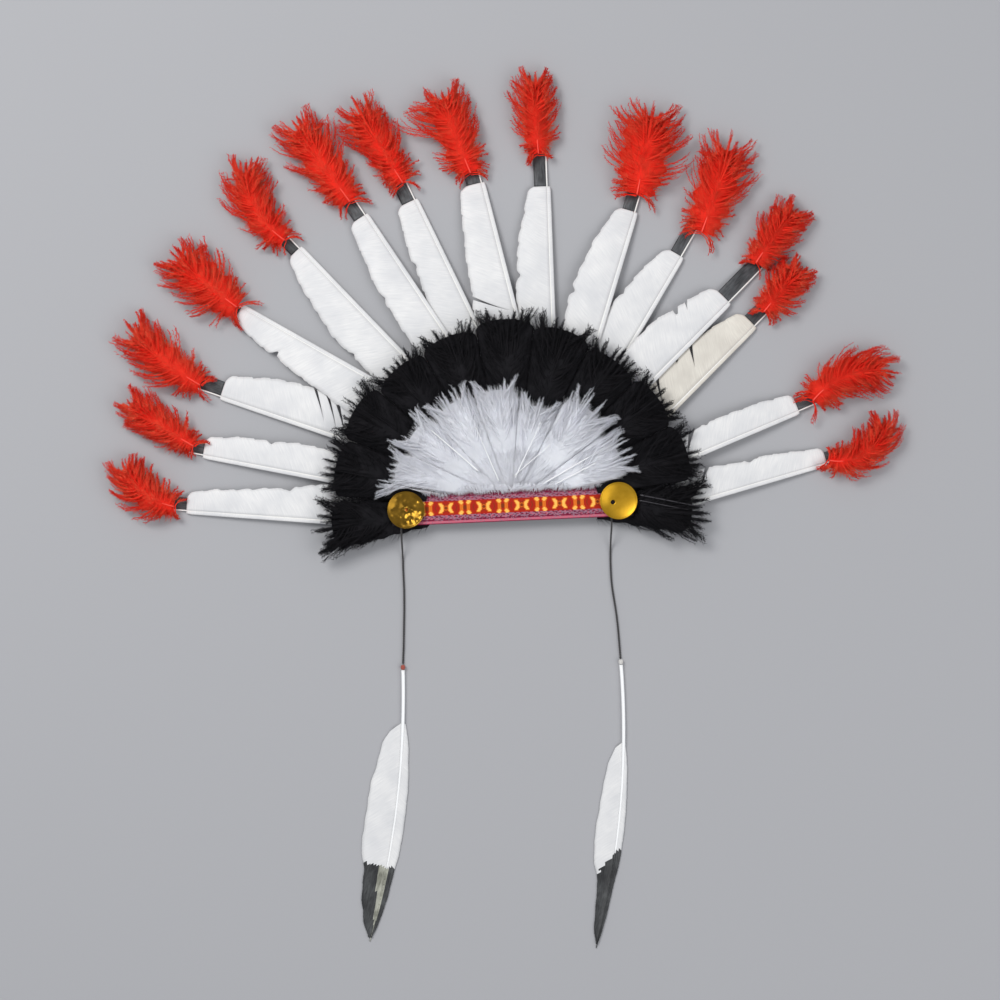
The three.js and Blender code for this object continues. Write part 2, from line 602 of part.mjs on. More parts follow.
FEATHERS.forEach((row, index) => {
  const level = index % 2 === 0 ? LOW_FEATHER : HIGH_FEATHER;
  addMesh(numbered('feather', index), longFeather(row, level), 'white_feather', 0.6, 0);
  addMesh(numbered('red_plume', index), redPlume(RED_PLUMES[index], row, level), 'red_marabou', 0.8, 0);
});
BLACK_PLUMES.forEach((row, index) => {
  addMesh(numbered('black_plume', index), blackPlume(row, index), 'black_marabou', 0.75, 0);
});
WHITE_PLUMES.forEach((row, index) => {
  addMesh(numbered('white_plume', index), whitePlume(row), 'white_marabou', 0.8, 0);
});
for (const [side, row] of Object.entries(DROPS)) {
  addMesh(`cord_${side}`, cord(row.route), 'black_cord', 0.7, 0);
  addMesh(`knot_${side}`, knot(row.knot), 'binding_thread', 0.8, 0);
  addMesh(`drop_feather_${side}`, dropFeather(row), 'white_feather', 0.6, 0);
}

export default object;
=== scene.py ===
import math
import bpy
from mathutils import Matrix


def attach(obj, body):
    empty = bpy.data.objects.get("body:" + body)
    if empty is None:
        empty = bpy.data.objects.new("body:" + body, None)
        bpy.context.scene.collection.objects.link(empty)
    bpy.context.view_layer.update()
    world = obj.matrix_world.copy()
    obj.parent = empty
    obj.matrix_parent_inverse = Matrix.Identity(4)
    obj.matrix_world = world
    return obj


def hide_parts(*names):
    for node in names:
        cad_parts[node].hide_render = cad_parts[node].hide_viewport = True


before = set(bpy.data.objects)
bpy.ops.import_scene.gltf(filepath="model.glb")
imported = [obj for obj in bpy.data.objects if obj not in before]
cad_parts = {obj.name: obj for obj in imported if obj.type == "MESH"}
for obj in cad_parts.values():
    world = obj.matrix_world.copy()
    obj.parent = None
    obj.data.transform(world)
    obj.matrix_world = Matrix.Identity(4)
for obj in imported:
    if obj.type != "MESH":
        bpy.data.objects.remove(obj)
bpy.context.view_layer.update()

from types import SimpleNamespace

import bpy
import numpy as np

# Sizes here are in millimetres, and each mesh is turned into metres when it is made
MM = 0.001
SEED = 20417

# Camera straight above, turned as the photograph is
FRAME_WIDTH = 700.0
CAMERA_HEIGHT = 1800.0
CAMERA_CENTRE = (-8.4, 4.0)
CAMERA_ROLL = -2.5
SENSOR_WIDTH = 36.0

CORD_DIAMETER = 1.5
CORD_STEPS = 14
KNOT_DIAMETER = 3.6

# Levels of the pieces that lie on each other
BACKING_BOTTOM = 1.5
BACKING_TOP = 4.5
LOW_FEATHER = 5.1
HIGH_FEATHER = 7.6
BLACK_LEVEL = 10.1
BLACK_END_LEVEL = 7.6
RIBBON_BOTTOM = 9.3
RIBBON_TOP = 10.5
DISC_BOTTOM = 10.8

BACKING_RADIUS = 106.0
BACKING_BELOW = 10.0
RIBBON_LENGTH = 168.0
RIBBON_WIDTH = 22.0
DISC_INSET = 10.0
DISC_DIAMETER = 26.0
DISC_THICKNESS = 0.6
DISC_RINGS, DISC_SPOKES = 26, 96
HAMMER_MARKS = 46
DISC_X = RIBBON_LENGTH / 2 - DISC_INSET

FEATHER_LENGTH = 170.0
FEATHER_DYED_LENGTH = 34.0
FEATHER_VANE_WIDTH = 28.0
FEATHER_FOOT_RADIUS = 70.0
FEATHER_VANE_START_RADIUS = 106.0
FEATHER_NARROW_VANE = 2.2
DROOP_POWER = 2.5
SHAFT_HEIGHT = 2.2
SHAFT_STATIONS = 60
VANE_ROW_STEP = 1.2
DYED_ROW_STEP = 0.9


def table(columns, rows):
    """Rows of values under the names of their columns."""
    return [SimpleNamespace(**dict(zip(columns.split(), row))) for row in rows]


# One row for each long feather, as in the part: foot_at and foot place its foot, direction is where it points
# and side is 1 where the wide vane is on the left, looking outwards. The widths are shares of the vane width.
FEATHERS = table("foot_at foot direction length dyed inner middle outer side notch_at notch", (
    (185.8, 1.33, 173.4, 0.80, 0.53, 0.89, 0.71, 0.46, -1, 0.42, 0.20),
    (170.6, 1.26, 166.7, 0.77, 0.47, 0.71, 0.71, 0.46, -1, 0.60, 0.25),
    (153.5, 1.00, 158.7, 0.87, 0.70, 0.96, 0.96, 0.54, -1, 0.30, 0.50),
    (125.1, 1.00, 148.0, 0.99, 0.53, 0.96, 0.82, 0.39, 1, 0.72, 0.45),
    (117.1, 1.00, 131.4, 0.97, 0.59, 0.89, 0.93, 0.39, 1, 0.38, 0.20),
    (98.3, 1.00, 121.3, 0.95, 0.65, 0.79, 0.82, 0.46, 1, 0.55, 0.15),
    (86.2, 1.00, 113.4, 0.94, 0.65, 0.89, 0.82, 0.50, 1, 0.66, 0.15),
    (72.0, 1.00, 101.8, 0.96, 0.53, 1.00, 0.89, 0.54, 1, 0.26, 0.50),
    (62.0, 1.00, 89.6, 0.94, 0.94, 0.82, 0.86, 0.46, 1, 0.50, 0.15),
    (51.5, 1.00, 70.8, 0.91, 0.65, 0.89, 0.96, 0.46, 1, 0.45, 0.20),
    (45.3, 1.00, 57.3, 0.83, 0.82, 0.86, 0.89, 0.43, 1, 0.60, 0.15),
    (36.3, 1.00, 42.9, 0.81, 1.00, 0.96, 1.00, 0.54, 1, 0.70, 0.40),
    (15.4, 1.00, 42.8, 0.86, 0.59, 0.89, 0.93, 0.50, 1, 0.50, 0.40),
    (9.4, 1.30, 20.5, 0.71, 0.59, 0.54, 0.64, 0.46, 1, 0.40, 0.20),
    (-5.4, 1.44, 13.8, 0.73, 0.41, 0.71, 0.64, 0.39, 1, 0.55, 0.20),
))

RED_LENGTH = 73.0
RED_HALF_WIDTH = 30.0
RED_THICKNESS = 9.0
RED_OVERLAP = 9.0
RED_FOOT_OFF_SHAFT = 0.4
RED_LOBE_HALF_LENGTH = 0.2
RED_PLUMES = table("overlap aside turn bend length half_width lobe_at lobe", (
    (1.2, 0, -6, -62, 0.72, 0.56, 0.5, 0),
    (1.1, -0.08, -19, -9, 0.84, 0.5, 0.5, 0),
    (1.1, 0, -10, -22, 0.94, 0.62, 0.2, 0),
    (1.9, 0, -6, -9, 0.85, 0.74, 0.5, 0),
    (1.2, 0.05, 14, -64, 0.92, 0.58, 0.5, 0),
    (1.2, 0.05, 3, -3, 1, 0.68, 0.5, 0),
    (1.1, 0, 7, -4, 0.92, 0.58, 0.85, 0.3),
    (1.3, 0.1, 9, -8, 0.9, 0.66, 0.8, 0.9),
    (1.2, 0.1, 4, -8, 0.82, 0.5, 0.85, 0.45),
    (1.3, 0, 5, 2, 0.9, 0.92, 0.5, 0),
    (0.9, -0.2, 10, 6, 0.98, 0.76, 0.5, 0),
    (0.3, 0.1, 12, -10, 0.72, 0.54, 0.5, 0),
    (1.1, 0, 6, -4, 0.62, 0.5, 0.5, 0),
    (1.1, 0, 30, -66, 0.88, 0.6, 0.5, 0),
    (1.5, 0, -30, 106, 0.82, 0.48, 0.5, 0),
))

BLACK_FOOT_RADIUS = 57.0
BLACK_REACH = 134.0
BLACK_FIRST_DIRECTION = 184.0
BLACK_LAST_DIRECTION = -4.0
BLACK_THICKNESS = 8.0
BLACK_REACHES = (1.0, 0.97, 0.99, 0.96, 0.97, 1.0, 0.98, 0.95, 0.97, 0.98, 0.99)

WHITE_FOOT_RADIUS = 8.0
WHITE_CLIMB_RADIUS = 36.0
WHITE_REACH = 90.0
WHITE_THICKNESS = 6.0
WHITE_FAN_RAISE = 2.0
WHITE_PLUMES = table("direction reach", (
    (162.0, 1.00), (143.0, 1.00), (119.5, 0.96), (96.0, 0.94), (72.0, 0.82), (48.0, 1.00), (21.0, 0.97),
))

# Directions of the lines between the white plumes, where their down meets
WHITE_BOUNDS = (168.5, 152.4, 131.2, 107.7, 84.0, 60.1, 34.4, 10.5)

# The cords' routes are the part's own points, in metres
LEFT_ROUTE = [
    (-0.078, -0.0114, 0.0101), (-0.078, -0.014, 0.0101), (-0.078, -0.017, 0.0098), (-0.078, -0.02, 0.0089),
    (-0.078, -0.023, 0.0074), (-0.078, -0.026, 0.0054), (-0.078, -0.029, 0.0034), (-0.0781, -0.032, 0.0019),
    (-0.0781, -0.0355, 0.001), (-0.0782, -0.04, 0.0008), (-0.0782, -0.045, 0.0008), (-0.0782, -0.05, 0.0008),
    (-0.0782, -0.055, 0.0008), (-0.0783, -0.06, 0.0008), (-0.0785, -0.065, 0.0008), (-0.0787, -0.07, 0.0008),
    (-0.079, -0.075, 0.0008), (-0.0793, -0.08, 0.0008), (-0.0796, -0.085, 0.0008), (-0.0799, -0.09, 0.0008),
    (-0.0802, -0.095, 0.0008), (-0.0806, -0.1, 0.0008), (-0.0809, -0.104, 0.0008), (-0.0812, -0.1078, 0.0008),
]
RIGHT_ROUTE = [
    (0.0686, -0.0114, 0.0101), (0.0686, -0.014, 0.0101), (0.0685, -0.017, 0.0098), (0.0683, -0.02, 0.0089),
    (0.068, -0.023, 0.0074), (0.0678, -0.026, 0.0054), (0.0676, -0.029, 0.0034), (0.0674, -0.032, 0.0019),
    (0.0672, -0.0355, 0.001), (0.067, -0.04, 0.0008), (0.0669, -0.045, 0.0008), (0.0669, -0.05, 0.0008),
    (0.067, -0.055, 0.0008), (0.0673, -0.06, 0.0008), (0.0678, -0.065, 0.0008), (0.0684, -0.07, 0.0008),
    (0.069, -0.075, 0.0008), (0.0695, -0.08, 0.0008), (0.0699, -0.085, 0.0008), (0.0702, -0.09, 0.0008),
    (0.0704, -0.095, 0.0008), (0.0706, -0.1, 0.0008), (0.0708, -0.105, 0.0008), (0.071, -0.1106, 0.0008),
]
CORD_ROUTES = {"left": LEFT_ROUTE, "right": RIGHT_ROUTE}

DROP_LENGTH = 200.0
DROP_VANE_WIDTH = 21.0
DROP_QUILL_RADII = (1.3, 1.2, 0.8, 0.3)
DROP_ROWS = 170
DROPS = dict(zip(("left", "right"), table(
    "knot heading bend length vane_start dyed_from wide narrow side slope ragged streak tip", (
        ((-81.3, -109.9), -91, -17, 0.96, 0.19, 0.72, 1.0, 0.33, -1, 0, 1.0, 0.45, 1),
        ((71.1, -112.7), -88, -19, 1.0, 0.27, 0.66, 0.74, 0.20, -1, 16, 3.0, 0, 0.75),
    ))))


class Build:
    """Gathers vertices and faces, and makes one mesh of them."""

    def __init__(self):
        self.vertices, self.coordinates, self.loops = [], [], []
        self.sizes, self.materials, self.flat = [], [], []
        self.count = 0

    def add(self, vertices, groups, material=0, coordinates=None, flat=None):
        """Adds vertices with groups of faces of one number of corners. flat names the groups shaded flat."""
        vertices = np.asarray(vertices, float).reshape(-1, 3)
        total = sum(len(faces) for faces in groups)
        self.vertices.append(vertices)
        for place, faces in enumerate(groups):
            self.flat.append(np.full(len(faces), place in (flat or ())))
            self.loops.append((np.asarray(faces, int) + self.count).ravel())
            self.sizes.append(np.full(len(faces), np.shape(faces)[1]))
        self.materials.append(np.full(total, material) if np.isscalar(material) else np.asarray(material))
        if coordinates is None:
            coordinates = np.zeros((len(vertices), 2))
        self.coordinates.append(np.asarray(coordinates, float).reshape(-1, 2))
        self.count += len(vertices)

    def make(self, name, materials):
        mesh = bpy.data.meshes.new(name)
        vertices = np.concatenate(self.vertices) * MM
        vertices[:, 2] = np.maximum(vertices[:, 2], 0)
        loops = np.concatenate(self.loops)
        sizes = np.concatenate(self.sizes)
        mesh.vertices.add(len(vertices))
        mesh.vertices.foreach_set("co", vertices.ravel())
        mesh.loops.add(len(loops))
        mesh.loops.foreach_set("vertex_index", loops)
        mesh.polygons.add(len(sizes))
        mesh.polygons.foreach_set("loop_start", np.concatenate([[0], np.cumsum(sizes)[:-1]]))
        mesh.polygons.foreach_set("material_index", np.concatenate(self.materials))
        mesh.polygons.foreach_set("use_smooth", ~np.concatenate(self.flat))
        for material in materials:
            mesh.materials.append(material)
        layer = mesh.uv_layers.new(name="barbs")
        layer.data.foreach_set("uv", np.concatenate(self.coordinates)[loops].ravel())
        mesh.update(calc_edges=True)
        piece = bpy.data.objects.new(name, mesh)
        bpy.context.collection.objects.link(piece)
        return piece


def draws(number):
    """The random numbers of one piece."""
    return np.random.default_rng(SEED + number)


def unit(vectors):
    return vectors / np.maximum(np.linalg.norm(vectors, axis=-1, keepdims=True), 1e-9)


def smoothstep(low, high, value):
    share = np.clip((value - low) / (high - low), 0, 1)
    return share * share * (3 - 2 * share)


def polar(radius, degrees):
    angle = math.radians(degrees)
    return np.array([radius * math.cos(angle), radius * math.sin(angle)])


class Spine:
    """A curved line in plan whose heading turns evenly."""

    def __init__(self, start, heading, bend, length):
        self.length = length
        self.start_angle = math.radians(heading)
        self.bend = math.radians(bend)
        steps = 96
        angles = self.start_angle + self.bend * (np.arange(steps) + 0.5) / steps
        moves = np.stack([np.cos(angles), np.sin(angles)], 1) * length / steps
        self.shares = np.linspace(0, 1, steps + 1)
        self.points = np.asarray(start) + np.concatenate([[[0, 0]], np.cumsum(moves, 0)])

    def at(self, share):
        """The points at shares of the length, with the directions forward and to the left."""
        share = np.asarray(share, float)
        inside = np.clip(share, 0, 1)
        x = np.interp(inside, self.shares, self.points[:, 0])
        y = np.interp(inside, self.shares, self.points[:, 1])
        angle = self.start_angle + self.bend * inside
        forward = np.stack([np.cos(angle), np.sin(angle)], -1)
        left = np.stack([-np.sin(angle), np.cos(angle)], -1)
        point = np.stack([x, y], -1) + forward * ((share - inside) * self.length)[..., None]
        return point, forward, left

    def place(self, share, across, up):
        """Points in space at shares along, with offsets to the left and heights."""
        point, _, left = self.at(share)
        flat = point + left * np.asarray(across, float)[..., None]
        return np.concatenate([flat, np.broadcast_to(up, flat.shape[:-1])[..., None]], -1)


def line_frames(paths):
    """Directions along lines, beside them and over them."""
    tangent = unit(np.gradient(paths, axis=-2))
    side = unit(np.cross(tangent, [0.0, 0.0, 1.0]))
    return tangent, side, np.cross(side, tangent)


def rings(side, over, sides, turn=0.0):
    """Offsets to the corners of a ring round each point, at a radius of one."""
    angles = np.arange(sides) * 2 * math.pi / sides + turn
    return side[..., None, :] * np.cos(angles)[:, None] + over[..., None, :] * np.sin(angles)[:, None]


def grid_faces(index):
    """Faces between the neighbours in a grid of vertex numbers."""
    return np.stack([index[:-1, :-1], index[1:, :-1], index[1:, 1:], index[:-1, 1:]], -1).reshape(-1, 4)


def closed_grid(rows, columns):
    """Vertex numbers of rows that each end where they start."""
    index = np.arange(rows * columns).reshape(rows, columns)
    return np.concatenate([index, index[:, :1]], 1)


def add_strands(build, paths, radii, tones, material=0, sides=3):
    """Tapered strands along paths, an array of lines by stations by three, each ending in a point."""
    lines, stations, _ = paths.shape
    _, side, over = line_frames(paths)
    points = paths[:, :, None] + rings(side, over, sides, math.pi / 2) * radii[:, :, None, None]
    vertices = np.concatenate([points[:, :-1].reshape(lines, -1, 3), paths[:, -1:]], 1)
    along = np.append(np.repeat(np.arange(stations - 1) / (stations - 1), sides), 1)
    coordinates = np.stack(np.broadcast_arrays(tones[:, None], along[None]), -1)
    index = closed_grid(stations - 1, sides)
    quads = grid_faces(index)[:, [0, 3, 2, 1]]
    tips = np.stack([index[-1, :-1], index[-1, 1:], np.full(sides, len(along) - 1)], -1)
    offsets = (np.arange(lines) * len(along))[:, None, None]
    groups = [(quads + offsets).reshape(-1, 4), (tips + offsets).reshape(-1, 3)]
    build.add(vertices, groups, material, coordinates)


def add_hairs(build, roots, directions, lengths, width, coordinates, material=0):
    """Fine three-sided spikes, one for each root."""
    directions = unit(directions)
    reference = np.where(np.abs(directions[:, 2:3]) > 0.8, [[1.0, 0, 0]], [[0, 0, 1.0]])
    side = unit(np.cross(directions, reference))
    ring = rings(side, np.cross(side, directions), 3)
    tip = (roots + directions * lengths[:, None])[:, None]
    vertices = np.concatenate([roots[:, None] + ring * width, tip], 1)
    faces = np.array([[0, 1, 3], [1, 2, 3], [2, 0, 3]]) + (np.arange(len(roots)) * 4)[:, None, None]
    build.add(vertices, [faces.reshape(-1, 3)], material, np.repeat(coordinates, 4, axis=0))


def add_fuzz(build, rng, paths, tones, hairs, length, width, material=0, lean=0.85, first=0.04):
    """Hairs on both sides of every barb, shorter towards its point."""
    lines, stations, _ = paths.shape
    tangent, side, over = line_frames(paths)
    share = (np.arange(hairs) + rng.uniform(0, 1, (lines, hairs))) / hairs
    share = first + (0.99 - first) * share
    place = share * (stations - 1)
    low = np.minimum(place.astype(int), stations - 2)
    part = (place - low)[..., None]
    line = np.arange(lines)[:, None]
    roots = paths[line, low] * (1 - part) + paths[line, low + 1] * part
    ways = np.where(rng.random((lines, hairs)) < 0.5, 1.0, -1.0) * rng.uniform(0.35, 1.0, (lines, hairs))
    rises = rng.normal(0.1, 0.4, (lines, hairs))[..., None]
    directions = tangent[line, low] * lean + side[line, low] * ways[..., None] + over[line, low] * rises
    lengths = length * rng.uniform(0.6, 1.1, (lines, hairs)) * (1 - 0.5 * share ** 1.5)
    tone = np.clip(tones[:, None] + rng.normal(0, 0.08, (lines, hairs)), 0, 1)
    coordinates = np.stack([tone, share], -1).reshape(-1, 2)
    roots, directions = roots.reshape(-1, 3), directions.reshape(-1, 3)
    add_hairs(build, roots, directions, lengths.ravel(), width, coordinates, material)


def add_tube(build, path, radii, material=0, sides=8):
    """One closed tube along a path, with flat ends."""
    path = np.asarray(path, float)
    stations = len(path)
    _, side, over = line_frames(path)
    radii = np.broadcast_to(np.asarray(radii, float), stations)
    around = (path[:, None] + rings(side, over, sides) * radii[:, None, None]).reshape(-1, 3)
    index = closed_grid(stations, sides)
    quads = grid_faces(index)[:, [0, 3, 2, 1]]
    first, last = np.full((2, sides), [[stations * sides], [stations * sides + 1]])
    start = np.stack([index[0, 1:], index[0, :-1], first], -1)
    end = np.stack([index[-1, :-1], index[-1, 1:], last], -1)
    along = np.append(np.repeat(np.linspace(0, 1, stations), sides), [0, 1])
    coordinates = np.stack([np.zeros(len(along)), along], -1)
    build.add([*around, path[0], path[-1]], [quads, np.concatenate([start, end])], material, coordinates)


def add_slab(build, top, bottom, material=0, coordinates=None, gone=None):
    """A closed slab between two grids of points, rows by columns by three. gone marks cells left open."""
    count = top.shape[0] * top.shape[1]
    faces = grid_faces(np.arange(count).reshape(top.shape[:2]))
    kept = np.ones(len(faces), bool) if gone is None else ~gone.ravel()
    upper = faces[kept]
    edges = np.concatenate([upper[:, [k, (k + 1) % 4]] for k in range(4)])
    outer = ~np.isin(edges[:, 0] * count + edges[:, 1], edges[:, 1] * count + edges[:, 0])
    start, end = edges[outer].T
    walls = np.stack([end, start, start + count, end + count], -1)
    if coordinates is not None:
        coordinates = np.concatenate([coordinates.reshape(-1, 2)] * 2)
    if not np.isscalar(material):
        material = material.ravel()[kept]
        material = np.concatenate([material, material, np.tile(material, 4)[outer]])
    vertices = np.concatenate([top.reshape(-1, 3), bottom.reshape(-1, 3)])
    build.add(vertices, [upper, upper[:, ::-1] + count, walls], material, coordinates, flat=(2,))


def add_round_body(build, top, under, hole=False):
    """A closed body between two sets of rings, which run from the middle out."""
    count = top.shape[0] * top.shape[1]
    index = closed_grid(*top.shape[:2])
    upper = grid_faces(index)
    here, after = index[:, :-1], index[:, 1:]
    groups = [upper, upper[:, ::-1] + count]
    groups.append(np.stack([here[-1], here[-1] + count, after[-1] + count, after[-1]], -1))
    if hole:
        groups.append(np.stack([here[0], after[0], after[0] + count, here[0] + count], -1))
    build.add(np.concatenate([top.reshape(-1, 3), under.reshape(-1, 3)]), groups)


def add_node(material, kind, values=None, links=None, **settings):
    """A shader node with its settings, the values of its inputs and the outputs linked to its inputs."""
    node = material.node_tree.nodes.new(f"ShaderNode{kind}")
    for name, value in settings.items():
        setattr(node, name, value)
    for name, value in (values or {}).items():
        node.inputs[name].default_value = value
    for name, output in (links or {}).items():
        material.node_tree.links.new(output, node.inputs[name])
    return node


def new_material(name, colour, other, values):
    """A material whose colour lies between two tones, which its mix node's factor chooses."""
    material = bpy.data.materials.new(name)
    material.use_nodes = True
    shader = material.node_tree.nodes["Principled BSDF"]
    for key, value in values.items():
        shader.inputs[key].default_value = value
    mix = add_node(material, "Mix", {"A": (*colour, 1), "B": (*other, 1)}, data_type="RGBA")
    material.node_tree.links.new(mix.outputs["Result"], shader.inputs["Base Color"])
    return material, shader, mix


def add_noise(material, vector, scale, detail):
    noise = add_node(material, "TexNoise", {"Scale": scale, "Detail": detail}, {"Vector": vector})
    return noise.outputs["Fac"]


def spread_tones(material, mix, first, second, operation, low, high):
    """Joins two signals and stretches the result over the mix of the two tones."""
    join = add_node(material, "Math", links={0: first, 1: second}, operation=operation)
    limits = {"From Min": low, "From Max": high}
    spread = add_node(material, "MapRange", limits, {"Value": join.outputs["Value"]})
    material.node_tree.links.new(spread.outputs["Result"], mix.inputs["Factor"])


def add_relief(material, shader, height, strength, distance):
    relief = add_node(material, "Bump", {"Strength": strength, "Distance": distance}, {"Height": height})
    material.node_tree.links.new(relief.outputs["Normal"], shader.inputs["Normal"])


def plume_material(name, colour, other, tip, soft=0.0, sheen=0.0):
    """Down whose tone changes from barb to barb and towards the barbs' ends."""
    material, shader, mix = new_material(name, colour, other, {
        "Roughness": 0.85, "Specular IOR Level": 0.15, "Sheen Weight": sheen, "Sheen Roughness": 0.6,
        "Sheen Tint": (*other, 1), "Subsurface Weight": soft, "Subsurface Radius": (1.0, 0.9, 0.9),
        "Subsurface Scale": 0.0015,
    })
    barbs = add_node(material, "UVMap", uv_map="barbs").outputs["UV"]
    parts = add_node(material, "SeparateXYZ", links={"Vector": barbs})
    noise = add_noise(material, add_node(material, "TexCoord").outputs["Object"], 120.0, 3.0)
    spread_tones(material, mix, parts.outputs["X"], noise, "ADD", 0.45, 1.1)
    ends = add_node(material, "MapRange", {"From Min": 0.5, "From Max": 1.1}, {"Value": parts.outputs["Y"]})
    links = {"A": mix.outputs["Result"], "Factor": ends.outputs["Result"]}
    fade = add_node(material, "Mix", {"B": (*tip, 1)}, links, data_type="RGBA")
    material.node_tree.links.new(fade.outputs["Result"], shader.inputs["Base Color"])
    return material


def streak_material(name, colour, other, across=1400.0, along=5.0, roughness=0.6):
    """A surface streaked along its barbs, which run along the second mesh coordinate."""
    values = {"Roughness": roughness, "Sheen Weight": 0.2}
    material, shader, mix = new_material(name, colour, other, values)
    barbs = add_node(material, "UVMap", uv_map="barbs").outputs["UV"]
    mapping = add_node(material, "Mapping", {"Scale": (across, along, 1)}, {"Vector": barbs})
    streaks = add_noise(material, mapping.outputs["Vector"], 1.0, 4.0)
    broad = add_noise(material, add_node(material, "TexCoord").outputs["Object"], 60.0, 2.0)
    spread_tones(material, mix, streaks, broad, "MULTIPLY", 0.12, 0.42)
    add_relief(material, shader, streaks, 0.25, 0.0003)
    return material


def grain_material(name, colour, other, scale, roughness, sheen=0.0, metallic=0.0, bump=0.2, gloss=0.5):
    """A surface with an even grain, such as felt, thread or worn metal."""
    material, shader, mix = new_material(name, colour, other, {
        "Roughness": roughness, "Sheen Weight": sheen, "Metallic": metallic, "Specular IOR Level": gloss,
    })
    grain = add_noise(material, add_node(material, "TexCoord").outputs["Object"], scale, 6.0)
    material.node_tree.links.new(grain, mix.inputs["Factor"])
    add_relief(material, shader, grain, bump, 0.0002)
    return material


RED_DOWN = plume_material("red_marabou", (0.92, 0.01, 0.005), (1, 0.04, 0.018),
                          (0.72, 0.004, 0.004), 0.5, 0.6)
BLACK_DOWN = plume_material("black_marabou", (0.003, 0.003, 0.004), (0.012, 0.011, 0.013),
                            (0.01, 0.01, 0.012))
WHITE_DOWN = plume_material("white_marabou", (0.88, 0.88, 0.95), (0.95, 0.95, 0.99),
                            (0.86, 0.87, 0.96), 0.5, 0.5)
WHITE_VANE = streak_material("white_feather", (0.66, 0.66, 0.66), (0.8, 0.79, 0.77))
CREAM_VANE = streak_material("cream_feather", (0.62, 0.58, 0.51), (0.79, 0.75, 0.66))
DYED_VANE = streak_material("dyed_feather", (0.002, 0.002, 0.003), (0.1, 0.105, 0.11), 160, 45, 0.5)
DROP_BLACK = streak_material("black_feather", (0.002, 0.002, 0.003), (0.06, 0.063, 0.063), 220, 45, 0.5)
TIP_STREAK = streak_material("tip_streak", (0.12, 0.12, 0.09), (0.62, 0.62, 0.52), 160, 40)
SHAFT = grain_material("feather_shaft", (0.84, 0.82, 0.76), (0.92, 0.91, 0.88), 300, 0.35, bump=0.05)
QUILL = grain_material("bare_quill", (0.93, 0.93, 0.92), (0.97, 0.97, 0.96), 300, 0.25, bump=0.03)
RED_SHAFT = grain_material("red_shaft", (1.0, 0.05, 0.03), (1.0, 0.1, 0.06), 300, 0.5, bump=0.05)
BLACK_SHAFT = grain_material("black_shaft", (0.01, 0.01, 0.012), (0.06, 0.055, 0.06), 300, 0.25, bump=0.05)
FELT = grain_material("black_felt", (0.008, 0.008, 0.009), (0.03, 0.029, 0.032), 900, 0.95, 0.4, bump=0.6)
ELASTIC = grain_material("black_elastic", (0.01, 0.01, 0.011), (0.035, 0.034, 0.037), 1500, 0.8, 0.2,
                         bump=0.4)
CORD = grain_material("black_cord", (0.01, 0.009, 0.009), (0.05, 0.045, 0.045), 2500, 0.6, 0.2, bump=0.5)
BINDING = grain_material("binding_thread", (0.3, 0.05, 0.03), (0.5, 0.12, 0.08), 2500, 0.7, 0.2, bump=0.5)
PALE_BINDING = grain_material("pale_binding", (0.6, 0.58, 0.55), (0.8, 0.78, 0.74), 2500, 0.7, 0.2, bump=0.5)
GOLD = grain_material("gold_disc", (0.42, 0.22, 0.012), (0.62, 0.36, 0.03), 220, 0.4, metallic=1.0, bump=0.1)
# The hammered disc's near-black patches between the gold ones are a painted dark reflection
GOLD_PAINTED_DARK_REFLECTION = grain_material("gold_disc_painted_dark_reflection", (0.05, 0.028, 0.005), (0.42, 0.23, 0.028), 130, 0.28,
                           metallic=1.0, bump=0.25)

THREAD_COLOURS = {
    "r": (0.38, 0.016, 0.006),
    "o": (0.68, 0.16, 0.015),
    "y": (0.92, 0.5, 0.1),
    "k": (0.2, 0.03, 0.006),
    "m": (0.17, 0.008, 0.035),
    "g": (0.27, 0.14, 0.19),
    "v": (0.1, 0.012, 0.035),
    "p": (0.5, 0.12, 0.17),
    # b: near black on the ribbon's ends under the discs, and painted shade under the right disc's sewing hole
    "b": (0.012, 0.009, 0.012),
}
THREADS = {
    key: grain_material(f"ribbon_thread_{key}", colour, tuple(c * 1.25 for c in colour), 3000, 0.7, bump=0.3,
                        gloss=0.15)
    for key, colour in THREAD_COLOURS.items()
}


def finish_piece(build, name, materials, node):
    """Makes the mesh that dresses one node of the part."""
    piece = build.make(name, materials)
    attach(piece, "root")
    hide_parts(node)
    return piece


# The camera looks straight down, square to the surface
camera_data = bpy.data.cameras.new("photo_camera")
camera_data.sensor_width = SENSOR_WIDTH
camera_data.lens = SENSOR_WIDTH * CAMERA_HEIGHT / FRAME_WIDTH
camera = bpy.data.objects.new("photo_camera", camera_data)
camera.location = (CAMERA_CENTRE[0] * MM, CAMERA_CENTRE[1] * MM, CAMERA_HEIGHT * MM)
camera.rotation_euler = (0, 0, math.radians(CAMERA_ROLL))
bpy.context.collection.objects.link(camera)
bpy.context.scene.camera = camera


def smooth_path(points, steps):
    """A smooth curve through points, with even steps between each pair."""
    padded = np.concatenate([[2 * points[0] - points[1]], points, [2 * points[-1] - points[-2]]])
    before, start, end, after = (padded[k:len(points) - 1 + k, None] for k in range(4))
    t = (np.arange(steps) / steps)[:, None]
    curve = 2 * start + (end - before) * t + (2 * before - 5 * start + 4 * end - after) * t * t
    curve = 0.5 * (curve + (3 * start - before - 3 * end + after) * t ** 3)
    return np.concatenate([curve.reshape(-1, 3), points[-1:]])


